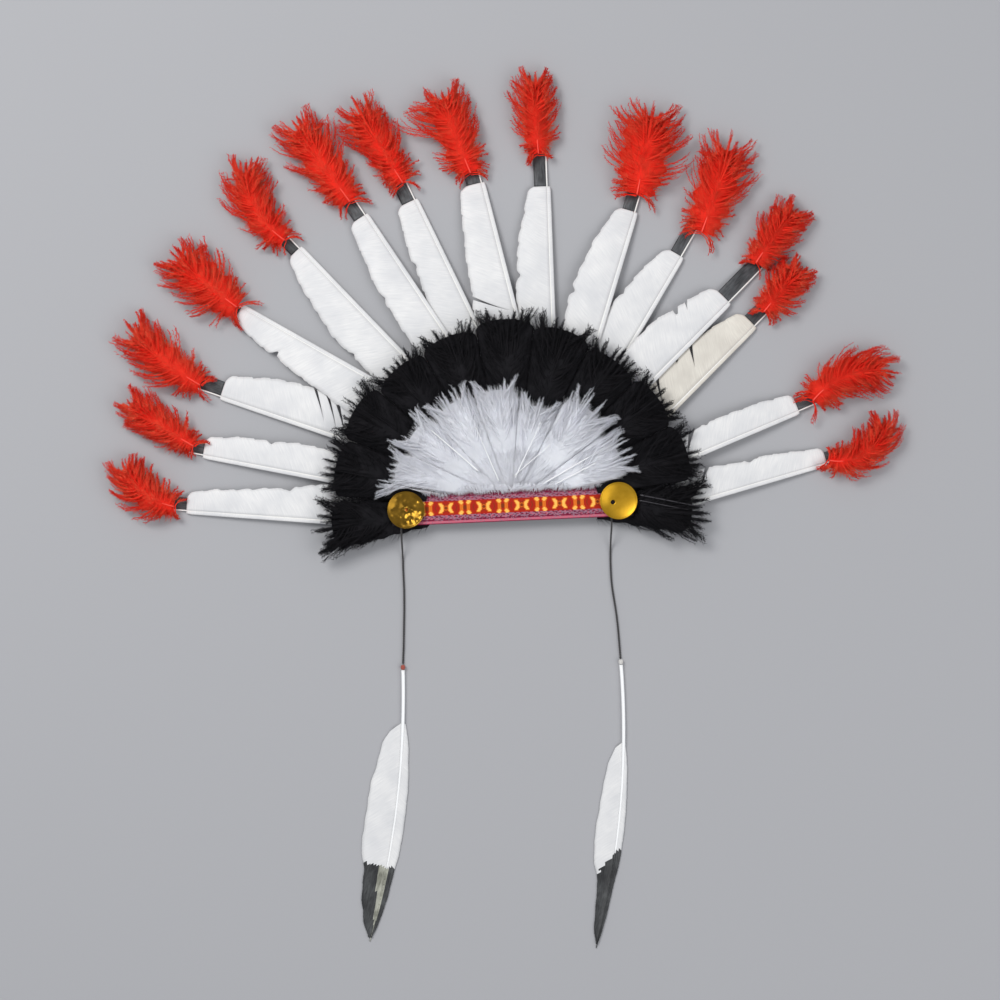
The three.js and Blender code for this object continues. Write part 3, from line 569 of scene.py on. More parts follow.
def make_cord(side):
    """Two plies twisted round each other along the cord's route."""
    route = np.array(CORD_ROUTES[side])
    path = smooth_path(route / MM, CORD_STEPS)
    ply_radius = CORD_DIAMETER * 0.27
    twist_radius = CORD_DIAMETER / 2 - ply_radius
    lengths = np.concatenate([[0], np.cumsum(np.linalg.norm(np.diff(path, axis=0), axis=1))])
    turn = lengths / (CORD_DIAMETER * 2.2) * 2 * math.pi
    _, across, over = line_frames(path)
    build = Build()
    for phase in (0.0, math.pi):
        offset = across * np.cos(turn + phase)[:, None] + over * np.sin(turn + phase)[:, None]
        add_tube(build, path + offset * twist_radius, ply_radius, sides=6)
    piece = finish_piece(build, f"twisted_cord_{side}", [CORD], f"cord_{side}")


for cord_side in CORD_ROUTES:
    make_cord(cord_side)


def wound_knot(side, material):
    """A short binding of thread turns round the cord's end and the quill's top."""
    x, y = DROPS[side].knot
    turns, steps = 7, 18
    radius = KNOT_DIAMETER / 2
    angle = np.linspace(0, turns * 2 * math.pi, turns * steps)
    along = np.linspace(-0.82, 0.82, len(angle)) * radius
    waist = np.sqrt(np.maximum(radius ** 2 - along ** 2, 0)) * 0.8
    thread = np.stack([x + waist * np.cos(angle), y + along, radius + waist * np.sin(angle)], -1)
    build = Build()
    add_tube(build, thread, 0.27, sides=5)
    share = np.linspace(-0.9, 0.9, 9)
    core = np.stack([np.full(9, x), y + share * radius, np.full(9, radius)], -1)
    add_tube(build, core, np.sqrt(1 - share ** 2) * radius * 0.8, sides=10)
    finish_piece(build, f"binding_{side}", [material], f"knot_{side}")


wound_knot("left", BINDING)
wound_knot("right", PALE_BINDING)


def station_widths(row, share):
    """The wide vane's width at shares of the white vane, as the part's stations give it."""
    stations = np.array([0, 0.08, 0.2, 0.5, 0.8, 1])
    between = 0.55 * row.middle + 0.45 * row.outer
    widths = np.array([0.3 * row.inner, 0.9 * row.inner, row.inner, row.middle, between, row.outer])
    slopes = np.gradient(widths, stations)
    index = np.clip(np.searchsorted(stations, share) - 1, 0, len(stations) - 2)
    span = stations[index + 1] - stations[index]
    t = np.clip((share - stations[index]) / span, 0, 1)
    smooth = (
        (2 * t ** 3 - 3 * t ** 2 + 1) * widths[index] + (t ** 3 - 2 * t ** 2 + t) * span * slopes[index]
        + (3 * t ** 2 - 2 * t ** 3) * widths[index + 1] + (t ** 3 - t ** 2) * span * slopes[index + 1]
    )
    return FEATHER_VANE_WIDTH * smooth


# Material slots of a drop feather's dyed part and of the pale streak in it
DYED = 1
STREAK = 3
VANE_THICKNESS = 0.5


def add_vane(build, spine, distances, width_at, side, height, slant_at, splits, material, camber=1.0,
             lift=0.6, columns=9, wobble=0, dye=None):
    """Barbs from the shaft to the vane's edge as one slab, parted where it splits.

    distances are where the rows leave the shaft, width_at gives the outline and slant_at how far the barbs
    lean towards the tip. A split is a share of the rows, how far in it runs and how wide it opens. dye says
    past which distance the vane is dyed, how that changes across it, how ragged it is and how wide a streak
    it has.
    """
    slant = slant_at(distances)
    widths = width_at(distances)
    for _ in range(8):
        widths = width_at(distances + slant * widths)
    widths = widths + wobble
    last = len(distances) - 1
    cuts = [(int(round(at * last)), reach, gap) for at, reach, gap in splits]
    rows = np.sort(np.concatenate([np.arange(last + 1), [row for row, _, _ in cuts]]).astype(int))
    share = np.linspace(0, 1, columns)[None, :]
    pull = np.zeros((len(rows), columns))
    gone = np.zeros((last + len(cuts), columns - 1), bool)
    for row, reach, gap in cuts:
        before = np.searchsorted(rows, row)
        sign = np.where(np.arange(len(rows)) <= before, -1, 1)[:, None]
        near = np.exp(-np.abs(rows - row) / 3.0)[:, None]
        opened = np.clip((share - (1 - reach)) / reach, 0, 1) ** 1.4
        pull += sign * near * (gap * opened + 0.01)
        gone[before] = opened[0, 1:] > 0
    base = distances[rows][:, None]
    width = widths[rows][:, None]
    along = base + slant[rows][:, None] * width * share ** 1.15 + pull
    up = height(along) + lift + camber * np.sin(share * math.pi * 0.85) - 0.35 * share ** 2
    up = up + 0.05 * np.sin(rows * 2.1)[:, None] * np.minimum(share * 4, 1)
    top = spine.place(along / spine.length, side * width * share, up)
    coordinates = np.stack([np.broadcast_to(base * MM, along.shape), share * width * MM * 20], -1)
    skin = np.full((len(rows) - 1, columns - 1), material)
    if dye:
        middle = (along[1:, 1:] + along[:-1, :-1]) / 2
        ragged = rows[1:, None] * 7.3 % 1.0 - 0.5
        skin[middle > dye.start + dye.slope * share[:, 1:] + dye.ragged * ragged] = DYED
        edge = dye.streak * (1 - 0.5 * smoothstep(dye.start, spine.length * 0.97, middle))
        skin[(skin == DYED) & (share[:, 1:] < edge) & (middle < spine.length * 0.94)] = STREAK
    add_slab(build, top, top - [0, 0, VANE_THICKNESS], skin, coordinates, gone)


def feather_line(row):
    foot = polar(FEATHER_FOOT_RADIUS * row.foot, row.foot_at)
    white = FEATHER_LENGTH * row.length
    dyed = FEATHER_DYED_LENGTH * row.dyed
    return Spine(foot, row.direction, 0, white + dyed), white, dyed


def feather_level(index):
    return LOW_FEATHER if index % 2 == 0 else HIGH_FEATHER


def feather_bottom(level, share):
    return level * (1 - np.clip(share, 0, 1) ** DROOP_POWER)


# The one feather whose vane is cream. Feathers and plumes are counted from 0 here.
CREAM_FEATHER = 12

# Where a vane has come apart, by feather: share along it, how far in the split runs and how wide it opens
FEATHER_SPLITS = {
    2: ((0.17, 0.9, 1.6), (0.23, 0.8, 1.5), (0.3, 0.7, 1.2)),
    7: ((0.27, 0.8, 1.2),),
    11: ((0.66, 0.2, 1.4),),
    12: ((0.2, 0.9, 1.6), (0.5, 0.6, 2.0)),
    13: ((0.12, 0.8, 1.8), (0.2, 0.9, 2.2)),
    14: ((0.1, 0.8, 1.8), (0.18, 0.7, 1.6)),
}


def make_feather(index):
    row = FEATHERS[index]
    rng = draws(index)
    spine, white, dyed = feather_line(row)
    total = white + dyed
    start = max(FEATHER_VANE_START_RADIUS - FEATHER_FOOT_RADIUS * row.foot, 9)
    build = Build()

    def height(along):
        return feather_bottom(feather_level(index), along / total)

    def shoulder(along):
        return np.sqrt(np.clip(1 - np.clip(1 - (white - along) / 4.0, 0, 1) ** 2 * 0.45, 0, 1))

    wave = rng.uniform(0, 2 * math.pi, 3)

    def wide_at(along):
        share = np.clip((along - start) / (white - start), 0, 1)
        inside = smoothstep(0, 0.15, share) * smoothstep(1, 0.85, share)
        sizes = zip((7, 3.1, 1.7), wave, (1, 2, 4))
        ripples = sum(np.sin(along / size + phase) / part for size, phase, part in sizes)
        scallop = (along / 11.0 + wave[0]) % 1.0
        notch = np.exp(-((share - row.notch_at) / 0.02) ** 2) * row.notch * 0.5
        edge = (0.4 * ripples - 0.9 * scallop ** 2) * inside
        return (station_widths(row, share) + edge) * shoulder(along) * (1 - notch)

    def narrow_at(along):
        return (FEATHER_NARROW_VANE + 0.3) * shoulder(along) * smoothstep(start - 1, start + 6, along)

    def slant_at(along):
        return 0.62 * smoothstep(white, white - 34, along)

    distances = np.linspace(start, white, int((white - start) / VANE_ROW_STEP))
    skin = 1 if index == CREAM_FEATHER else 0
    splits = FEATHER_SPLITS.get(index, ())
    add_vane(build, spine, distances, wide_at, row.side, height, slant_at, splits, skin,
             wobble=rng.normal(0, 0.07, len(distances)))
    add_vane(build, spine, distances, narrow_at, -row.side, height, slant_at, (), skin, camber=0.2, columns=4)
    dyed_rows = np.linspace(white + 0.2, total, max(int(dyed / DYED_ROW_STEP), 6))
    add_vane(build, spine, dyed_rows, lambda along: np.full(len(along), FEATHER_VANE_WIDTH * row.outer * 0.7),
             row.side, height, np.zeros_like, (), 2, camber=0.5, lift=0.4, columns=7)
    reach = np.linspace(0, total, SHAFT_STATIONS)
    radius = np.interp(reach, [0, start, start + 20, white, total], [1.5, 1.1, 0.7, 0.5, 0.5])
    rise = np.interp(reach, [0, start, start + 20, white, white + 4], [0.9, 0.7, 0.15, 0.15, 0.5])
    add_tube(build, spine.place(reach / total, 0, height(reach) + rise), radius, 3)
    add_soft_barbs(build, rng, spine, start, row.side, height, 4)
    materials = [WHITE_VANE, CREAM_VANE, DYED_VANE, SHAFT, WHITE_DOWN]
    finish_piece(build, f"dressed_feather_{index + 1:02d}", materials,
                 f"feather_{index + 1:02d}")


# Shares of a barb's length at which its line has points
BARB = np.linspace(0, 1, 6)[None, :]


def add_soft_barbs(build, rng, spine, start, side, height, material):
    """Loose downy barbs at the foot of a vane."""
    count = 20
    roots = rng.uniform(start - 3, start + 15, count)
    sides = rng.choice([-1, 1], count, p=[0.5 - 0.3 * side, 0.5 + 0.3 * side])
    lengths = rng.uniform(9, 19, count)
    forward = rng.uniform(0.5, 1.1, count)[:, None] * BARB - 0.25 * BARB ** 2
    along = roots[:, None] + lengths[:, None] * forward
    across = sides[:, None] * lengths[:, None] * BARB ** 0.9 * rng.uniform(0.6, 1.0, count)[:, None]
    up = (height(roots) + 1.1)[:, None] + rng.uniform(0.3, 1.8, count)[:, None] * np.sin(BARB * 2.4)
    paths = spine.place(along / spine.length, across, up)
    tones = rng.uniform(0, 1, count)
    radii = np.broadcast_to(0.3 * (1 - BARB) ** 0.7 + 0.04, paths.shape[:2])
    add_strands(build, paths, radii, tones, material)
    add_fuzz(build, rng, paths, tones, 12, 2.4, 0.12, material)


for feather_index in range(len(FEATHERS)):
    make_feather(feather_index)


def half_at(form, share, left):
    """The half width on the side of each place."""
    return np.where(left, form.half(share, 1), form.half(share, -1))


def core_surface(form, style, share, u):
    """The core's upper side at shares along and at u across, from 1 on the left edge to -1 on the right."""
    ending = np.clip((share - style.core_end + style.round) / style.round, 0, 1)
    half = half_at(form, share, u >= 0)
    lumps = 1 + style.lumpy * np.sin(share * 21 + 1.9 * np.sign(u) + half) * np.abs(u)
    across = half * style.core_width * lumps * u * np.sqrt(1 - 0.96 * ending ** 2)
    crown = np.maximum(1 - np.abs(u) ** style.flat, 0) ** (1 / style.flat) * np.sqrt(1 - 0.9 * ending ** 2)
    return across, form.bottom(share) + form.thickness(share) * (0.3 + style.core_rise * crown)


def add_core(build, spine, form, style):
    """A soft body under the barbs, drawn in towards its end."""
    rounding = style.core_end - style.round * (1 - np.sin(np.linspace(0, math.pi / 2, 10)))
    shares = np.append(np.linspace(0.03, style.core_end - style.round, 20)[:-1], rounding)
    share, u = np.meshgrid(shares, np.sin(np.linspace(-math.pi / 2, math.pi / 2, 13)), indexing="ij")
    across, up = core_surface(form, style, share, u)
    belly = 0.28 - 0.2 * np.sqrt(np.maximum(1 - u ** 2, 0))
    low = spine.place(share, across, form.bottom(share) + form.thickness(share) * belly - 0.1)
    add_slab(build, spine.place(share, across, up + 0.05), low, 0, np.full(share.shape + (2,), 0.3))


def add_nap(build, rng, spine, form, style):
    """Short hairs lying over the core, each leaning forward and outward as the barbs do."""
    count = style.nap
    share = rng.uniform(0.02, style.core_end - 0.02, count)
    u = rng.uniform(-1, 1, count)
    across, up = core_surface(form, style, share, u)
    _, forward, left = spine.at(share)
    aside = np.radians(style.nap_angle) * (u + rng.normal(0, 0.35, count))
    rise = np.radians(rng.normal(6, 9, count))
    flat = forward * np.cos(aside)[:, None] + left * np.sin(aside)[:, None]
    directions = np.concatenate([flat * np.cos(rise)[:, None], np.sin(rise)[:, None]], 1)
    roots = spine.place(share, across, up - 0.1)
    lengths = style.nap_length * rng.uniform(0.5, 1.2, count)
    coordinates = np.stack([rng.uniform(0.1, 0.9, count), rng.uniform(0, 0.6, count)], -1)
    add_hairs(build, roots, directions, lengths, style.nap_radius, coordinates)


# Share of a plume at which the barbs along its sides end
LAST_BARB = 0.85


def side_barbs(rng, spine, form, style):
    """Centre lines of the barbs along both sides, from the quill to their points and gathered in locks."""
    count, locks, early = style.barbs, style.locks, style.early
    order = np.arange(count) + rng.uniform(0, 1, count)
    root = style.first + (LAST_BARB - style.first) * order / count
    side = np.where(rng.permutation(count) % 2 == 0, 1.0, -1.0)
    half_step = np.where(side > 0, 0, 0.5)
    cell = np.floor(root * locks + half_step)
    lock = cell.astype(int) * 2 + (side > 0)
    lock_root = (cell + 0.5 - half_step) / locks
    lock_reach = rng.uniform(*style.reach, 2 * locks + 6)[lock]
    lock_tone = rng.uniform(0, 1, 2 * locks + 6)[lock]
    lock_lean = rng.normal(0, 0.03, 2 * locks + 6)[lock]
    layer = rng.uniform(0, 1, count)
    gathered = root + (lock_root - root) * style.gather
    advance = style.lean * (style.foot_lean + (1 - style.foot_lean) * smoothstep(0, 0.35, root))
    tip_share = np.minimum(gathered + advance + lock_lean + rng.normal(0, 0.012, count), 1.03)
    tip_half = half_at(form, tip_share, side > 0)
    reach = lock_reach * (1 - style.dome * layer ** 1.5) * rng.uniform(0.85, 1.05, count)
    along = root[:, None] + (tip_share - root)[:, None] * (early * BARB + (1 - early) * BARB ** 2)
    across = (side * tip_half * reach)[:, None] * (1 - (1 - BARB) ** style.bow)
    return finish_barbs(rng, spine, form, style, along, across, layer, lock_tone)


def end_barbs(rng, spine, form, style):
    """Centre lines of the barbs that spread out at the plume's end, gathered in locks."""
    count, locks = style.end_barbs, style.end_locks
    root = rng.uniform(0.5, 0.82, count)
    reach = rng.uniform(-1, 1, count)
    cell = np.minimum(((reach + 1) / 2 * locks).astype(int), locks - 1)
    lock_over = rng.uniform(*style.over, locks)[cell]
    lock_tone = rng.uniform(0, 1, locks)[cell]
    gathered = reach + ((cell + 0.5) / locks * 2 - 1 - reach) * style.gather
    layer = rng.uniform(0, 1, count)
    tip_share = 1 + lock_over - style.end_round * gathered ** 2 + rng.uniform(-0.08, 0.02, count)
    along = root[:, None] + (tip_share - root)[:, None] * BARB
    start = (reach * style.end_start)[:, None]
    target = (gathered * (1 - 0.1 * layer))[:, None]
    across = half_at(form, tip_share, gathered > 0)[:, None] * (start * (1 - BARB) + target * BARB)
    return finish_barbs(rng, spine, form, style, along, across, layer, lock_tone)


def finish_barbs(rng, spine, form, style, along, across, layer, lock_tone):
    """Gives the barbs their heights and tones."""
    count = len(along)
    inside = np.clip(along, 0, 1)
    layer = layer[:, None]
    bottom, thickness = form.bottom(inside), form.thickness(inside)
    root_up = bottom + thickness * (0.4 + 0.25 * layer)
    tip_up = bottom + thickness * (0.08 + style.tip_rise * layer)
    lift = thickness * (0.1 + 0.5 * layer)
    up = root_up * (1 - BARB) + tip_up * BARB + lift * np.sin(BARB * math.pi) ** 0.8
    across = across + 0.35 * np.sin(BARB * 8 + rng.uniform(0, 6, count)[:, None]) * BARB
    tones = np.clip(lock_tone * 0.55 + rng.uniform(0, 0.45, count), 0, 1)
    return spine.place(along, across, up), tones


def add_plume(build, rng, spine, form, style):
    """A plume of down: a soft core under barbs gathered in locks, with fuzz along each barb.

    The functions in form give the half width at a share and side, the underside and the thickness.
    """
    add_core(build, spine, form, style)
    add_nap(build, rng, spine, form, style)
    for barbs in (side_barbs, end_barbs):
        paths, tones = barbs(rng, spine, form, style)
        taper = (1 - BARB) ** 0.6 * 0.85 + 0.15
        radii = style.barb_radius * taper * rng.uniform(0.7, 1.2, len(paths))[:, None]
        add_strands(build, paths, radii, tones)
        add_fuzz(build, rng, paths, tones, style.hairs, style.hair_length, style.hair_radius,
                 lean=style.hair_lean, first=style.hair_first)


RED_STYLE = SimpleNamespace(
    core_end=0.86, core_width=0.54, core_rise=0.45, lumpy=0.16, flat=2.2, round=0.3, nap=1800, nap_angle=80,
    nap_length=6.5, nap_radius=0.2, barbs=116, first=0, locks=11, reach=(0.8, 1.22), lean=0.27,
    foot_lean=-0.45, gather=0.72, dome=0.3, early=0.3, bow=1.35, tip_rise=0.6, end_barbs=46, end_locks=7,
    over=(-0.08, 0.08), end_round=0.2, end_start=0.2, barb_radius=0.42, hairs=20, hair_length=3.8,
    hair_lean=1, hair_first=0.35, hair_radius=0.27,
)
BLACK_STYLE = SimpleNamespace(
    core_end=0.94, core_width=0.996, core_rise=0.45, lumpy=0, flat=4.5, round=0.1, nap=1000, nap_angle=46,
    nap_length=7, nap_radius=0.2, barbs=70, first=0.25, locks=12, reach=(0.95, 1.15), lean=0.3, foot_lean=0.6,
    gather=0.6, dome=0.2, early=0.4, bow=1.2, tip_rise=0.6, end_barbs=76, end_locks=8, over=(-0.05, 0.1),
    end_round=0.02, end_start=0.5, barb_radius=0.38, hairs=18, hair_length=4.4, hair_lean=0.9,
    hair_first=0.45, hair_radius=0.24,
)
BLACK_END_STYLE = SimpleNamespace(**vars(BLACK_STYLE))
vars(BLACK_END_STYLE).update(core_width=0.82, lumpy=0.06, core_end=0.9, barbs=100, reach=(0.95, 1.25))
WHITE_STYLE = SimpleNamespace(
    core_end=0.92, core_width=0.998, core_rise=0.62, lumpy=0, flat=8, round=0.14, nap=4200, nap_angle=24,
    nap_length=6, nap_radius=0.16, barbs=50, first=0.4, locks=10, reach=(0.85, 1.05), lean=0.3, foot_lean=0.8,
    gather=0.5, dome=0.1, early=0.7, bow=1.1, tip_rise=0.75, end_barbs=80, end_locks=12, over=(-0.12, 0.08),
    end_round=0.02, end_start=0.6, barb_radius=0.3, hairs=22, hair_length=4, hair_lean=1.4,
    hair_first=0.45, hair_radius=0.17,
)


def red_outline(share):
    return np.interp(share, [-0.15, 0.06, 0.16, 0.33, 0.54, 0.73, 0.9, 1, 1.08],
                     [0.55, 0.75, 0.9, 1.02, 1.08, 1.08, 0.95, 0.8, 0.6])


def fan_outline(share):
    return np.interp(share, [0, 0.85, 1, 1.1], [1, 1, 0.97, 0.9])


def level_form(half, level, thickness):
    """The form of a plume whose underside is level."""

    def bottom(share):
        return np.full(np.shape(share), level)

    return SimpleNamespace(half=half, bottom=bottom, thickness=thickness)


def make_red_plume(index):
    rng = draws(100 + index)
    row, feather = RED_PLUMES[index], FEATHERS[index]
    line, _, _ = feather_line(feather)
    foot_share = (line.length - RED_OVERLAP * row.overlap) / line.length
    base, _, left = line.at(foot_share)
    dyed_middle = feather.side * (FEATHER_VANE_WIDTH * feather.outer - FEATHER_NARROW_VANE) / 2
    start = base + left * (dyed_middle * RED_FOOT_OFF_SHAFT + RED_HALF_WIDTH * row.aside)
    spine = Spine(start, feather.direction + row.turn, row.bend, RED_LENGTH * row.length)
    level = float(feather_bottom(feather_level(index), foot_share)) + SHAFT_HEIGHT + 0.3

    def half(share, side):
        lobe = row.lobe * np.clip(1 - np.abs(share - row.lobe_at) / RED_LOBE_HALF_LENGTH, 0, 1)
        return RED_HALF_WIDTH * row.half_width * red_outline(share) * (1 + (lobe if side > 0 else 0))

    def thickness(share):
        return RED_THICKNESS * (0.5 + 0.5 * smoothstep(0, 0.25, share))

    build = Build()
    add_plume(build, rng, spine, level_form(half, level, thickness), RED_STYLE)
    share = np.linspace(0.02, 0.34, 16)
    shaft = spine.place(share, 0, level + RED_THICKNESS * (0.55 + 0.55 * share))
    add_tube(build, shaft, np.linspace(0.5, 0.25, 16), 1, sides=6)
    finish_piece(build, f"red_down_{index + 1:02d}", [RED_DOWN, RED_SHAFT],
                 f"red_plume_{index + 1:02d}")


def black_thickness(radius):
    full = (BLACK_REACH - BLACK_FOOT_RADIUS) * 0.6
    return 1.4 + (BLACK_THICKNESS - 1.4) * np.clip((radius - BLACK_FOOT_RADIUS) / full, 0, 1)


def press_under_discs(points):
    """Lowers the down that lies under a disc."""
    for x in (-DISC_X, DISC_X):
        reach = np.hypot(points[:, 0] - x, points[:, 1])
        limit = DISC_BOTTOM - 0.3 + 2 * (reach / DISC_DIAMETER * 2) ** 2
        limit[reach >= DISC_DIAMETER / 2 + 1.2] = np.inf
        points[:, 2] = np.minimum(points[:, 2], limit)
    return points


def part_round_discs(points):
    """Moves the down beside a disc off it."""
    for x in (-DISC_X, DISC_X):
        away = points[:, :2] - [x, 0]
        reach = np.maximum(np.linalg.norm(away, axis=1), 0.1)
        wanted = np.maximum(reach, DISC_DIAMETER / 2 + 0.5 + 0.12 * reach)
        points[:, :2] = away * (wanted / reach)[:, None] + [x, 0]
    return points


def add_quills(build, form, foot, direction, length, quills):
    """Bare quills lying on a plume."""
    for inner, outer, radius, over in quills:
        inner, outer = np.array(inner), np.array(outer)
        plan = inner + (outer - inner) * np.linspace(0, 1, 24)[:, None]
        share = (plan - foot) @ polar(1, direction) / length
        up = form.bottom(share) + form.thickness(share) * 0.92 + over
        line = np.concatenate([plan, up[:, None]], 1)
        add_tube(build, line, np.linspace(radius, radius * 0.5, 24), 1, sides=6)


# Glossy quills on the last black plume, beside the right disc
BLACK_QUILLS = {10: (((89.0, 3.3), (131.3, -7.0), 0.7, 1.0), ((88.5, -0.5), (122.0, -8.5), 0.5, 0.8))}


def make_black_plume(index):
    rng = draws(200 + index)
    step = (BLACK_FIRST_DIRECTION - BLACK_LAST_DIRECTION) / (len(BLACK_REACHES) - 1)
    direction = BLACK_FIRST_DIRECTION - step * index
    length = BLACK_REACH * BLACK_REACHES[index] - BLACK_FOOT_RADIUS
    foot = polar(BLACK_FOOT_RADIUS, direction)
    at_end = index in (0, len(BLACK_REACHES) - 1)
    widest = math.tan(math.radians(step / 2))

    def radius(share):
        return BLACK_FOOT_RADIUS + length * np.asarray(share)

    def half(share, side):
        return radius(share) * widest * fan_outline(share)

    def thickness(share):
        thin = at_end & (radius(share) < DISC_X + DISC_DIAMETER / 2)
        return np.where(thin, 1.4, black_thickness(radius(share)))

    form = level_form(half, BLACK_END_LEVEL if at_end else BLACK_LEVEL, thickness)
    build = Build()
    add_plume(build, rng, Spine(foot, direction, 0, length), form, BLACK_END_STYLE if at_end else BLACK_STYLE)
    build.vertices = [press_under_discs(points) for points in build.vertices]
    add_quills(build, form, foot, direction, length, BLACK_QUILLS.get(index, ()))
    finish_piece(build, f"black_down_{index + 1:02d}", [BLACK_DOWN, BLACK_SHAFT],
                 f"black_plume_{index + 1:02d}")


# Bare quills that show on the white fan, by plume: the inner end, the outer end, the radius and the height
# over the plume's own surface
WHITE_QUILLS = {
    1: (((-22.9, 25.0), (-53.8, 54.3), 0.65, 3.6),),
    2: (((-8.5, 17.3), (-23.0, 55.1), 0.4, 1.7),),
    4: (((2.8, 19.0), (23.4, 58.7), 0.35, 1.7),),
    5: (((2.1, 20.4), (28.3, 41.0), 0.35, 1.7),),
    6: (((19.3, 12.6), (63.8, 35.9), 0.45, 1.7), ((27.0, 11.6), (59.2, 27.0), 0.4, 1.7)),
}

# Where each white plume's down lies over the ribbon's upper edge, from one place along it to the other
WISP_BOUNDS = (-62.0, -19.2, -8.8, -3.2, 1.0, 5.8, 14.6, 60.0)

# Longer wisps there: place along the ribbon, length and spread
WISP_DIPS = ((-47.5, 3.2, 1.8), (-24.0, 1.4, 1.5), (-6.7, 1.4, 1.5), (14.6, 1.6, 1.5))


def add_wisps(build, rng, index):
    """Loose down from the foot of a white plume, laid over the ribbon's upper edge."""
    low, high = WISP_BOUNDS[index:index + 2]
    count = max(int((high - low) * 4), 20)
    x = rng.uniform(low, high, count)
    edge = RIBBON_WIDTH / 2
    reach = 1.6 + 0.6 * np.sin(x * 0.36 + 2.0) + 0.4 * np.sin(x * 0.83) + rng.uniform(-0.6, 0.9, count)
    for place, size, spread in WISP_DIPS:
        reach = reach + size * np.exp(-((x - place) / spread) ** 2)
    path_x = x[:, None] + rng.normal(0, 1.6, count)[:, None] * BARB + np.sign(x)[:, None] * 1.5 * (1 - BARB)
    root_y = (edge + rng.uniform(1.6, 4.5, count))[:, None]
    path_y = root_y * (1 - BARB) + (edge - np.maximum(reach, 0.3))[:, None] * BARB
    over_edge = RIBBON_TOP + 0.55 + rng.uniform(0, 0.9, count)[:, None]
    path_z = over_edge - 1.6 * np.clip((0.35 - BARB) / 0.35, 0, 1) ** 2 + 0.8 * np.sin(BARB * math.pi)
    paths = np.stack([path_x, path_y, path_z], -1)
    tones = rng.uniform(0.2, 0.9, count)
    add_strands(build, paths, np.broadcast_to(0.26 * (1 - BARB) ** 0.6 + 0.05, paths.shape[:2]), tones)
    add_fuzz(build, rng, paths, tones, 6, 1.6, 0.16, lean=0.8)


def make_white_plume(index):
    rng = draws(300 + index)
    row = WHITE_PLUMES[index]
    foot = polar(WHITE_FOOT_RADIUS, row.direction) + [0, WHITE_FAN_RAISE]
    length = WHITE_REACH * row.reach - WHITE_FOOT_RADIUS

    def bottom(share):
        radius = WHITE_FOOT_RADIUS + WHITE_FAN_RAISE + length * np.asarray(share)
        over = BLACK_LEVEL + black_thickness(radius) + 0.6
        climb = (radius - WHITE_CLIMB_RADIUS) / (BLACK_FOOT_RADIUS - WHITE_CLIMB_RADIUS)
        low = BACKING_TOP + 0.3
        return low + (over - low) * smoothstep(0, 1, climb)

    def half(share, side):
        turn = abs(WHITE_BOUNDS[index if side > 0 else index + 1] - row.direction)
        room = (WHITE_FOOT_RADIUS + length * np.asarray(share)) * math.tan(math.radians(turn))
        lower = 1.4 * smoothstep(0.86, 1.0, share) if index == 0 and side > 0 else 0
        return room * fan_outline(share) * (1 + lower)

    def thickness(share):
        return 1.4 + (WHITE_THICKNESS - 1.4) * smoothstep(0.0, 0.4, share)

    form = SimpleNamespace(half=half, bottom=bottom, thickness=thickness)
    build = Build()
    add_plume(build, rng, Spine(foot, row.direction, 0, length), form, WHITE_STYLE)
    build.vertices = [part_round_discs(points) for points in build.vertices]
    add_wisps(build, rng, index)
    add_quills(build, form, foot, row.direction, length, WHITE_QUILLS.get(index, ()))
    finish_piece(build, f"white_down_{index + 1:02d}", [WHITE_DOWN, QUILL],
                 f"white_plume_{index + 1:02d}")


for plume_index in range(len(RED_PLUMES)):
    make_red_plume(plume_index)
for plume_index in range(len(BLACK_REACHES)):
    make_black_plume(plume_index)
for plume_index in range(len(WHITE_PLUMES)):
    make_white_plume(plume_index)


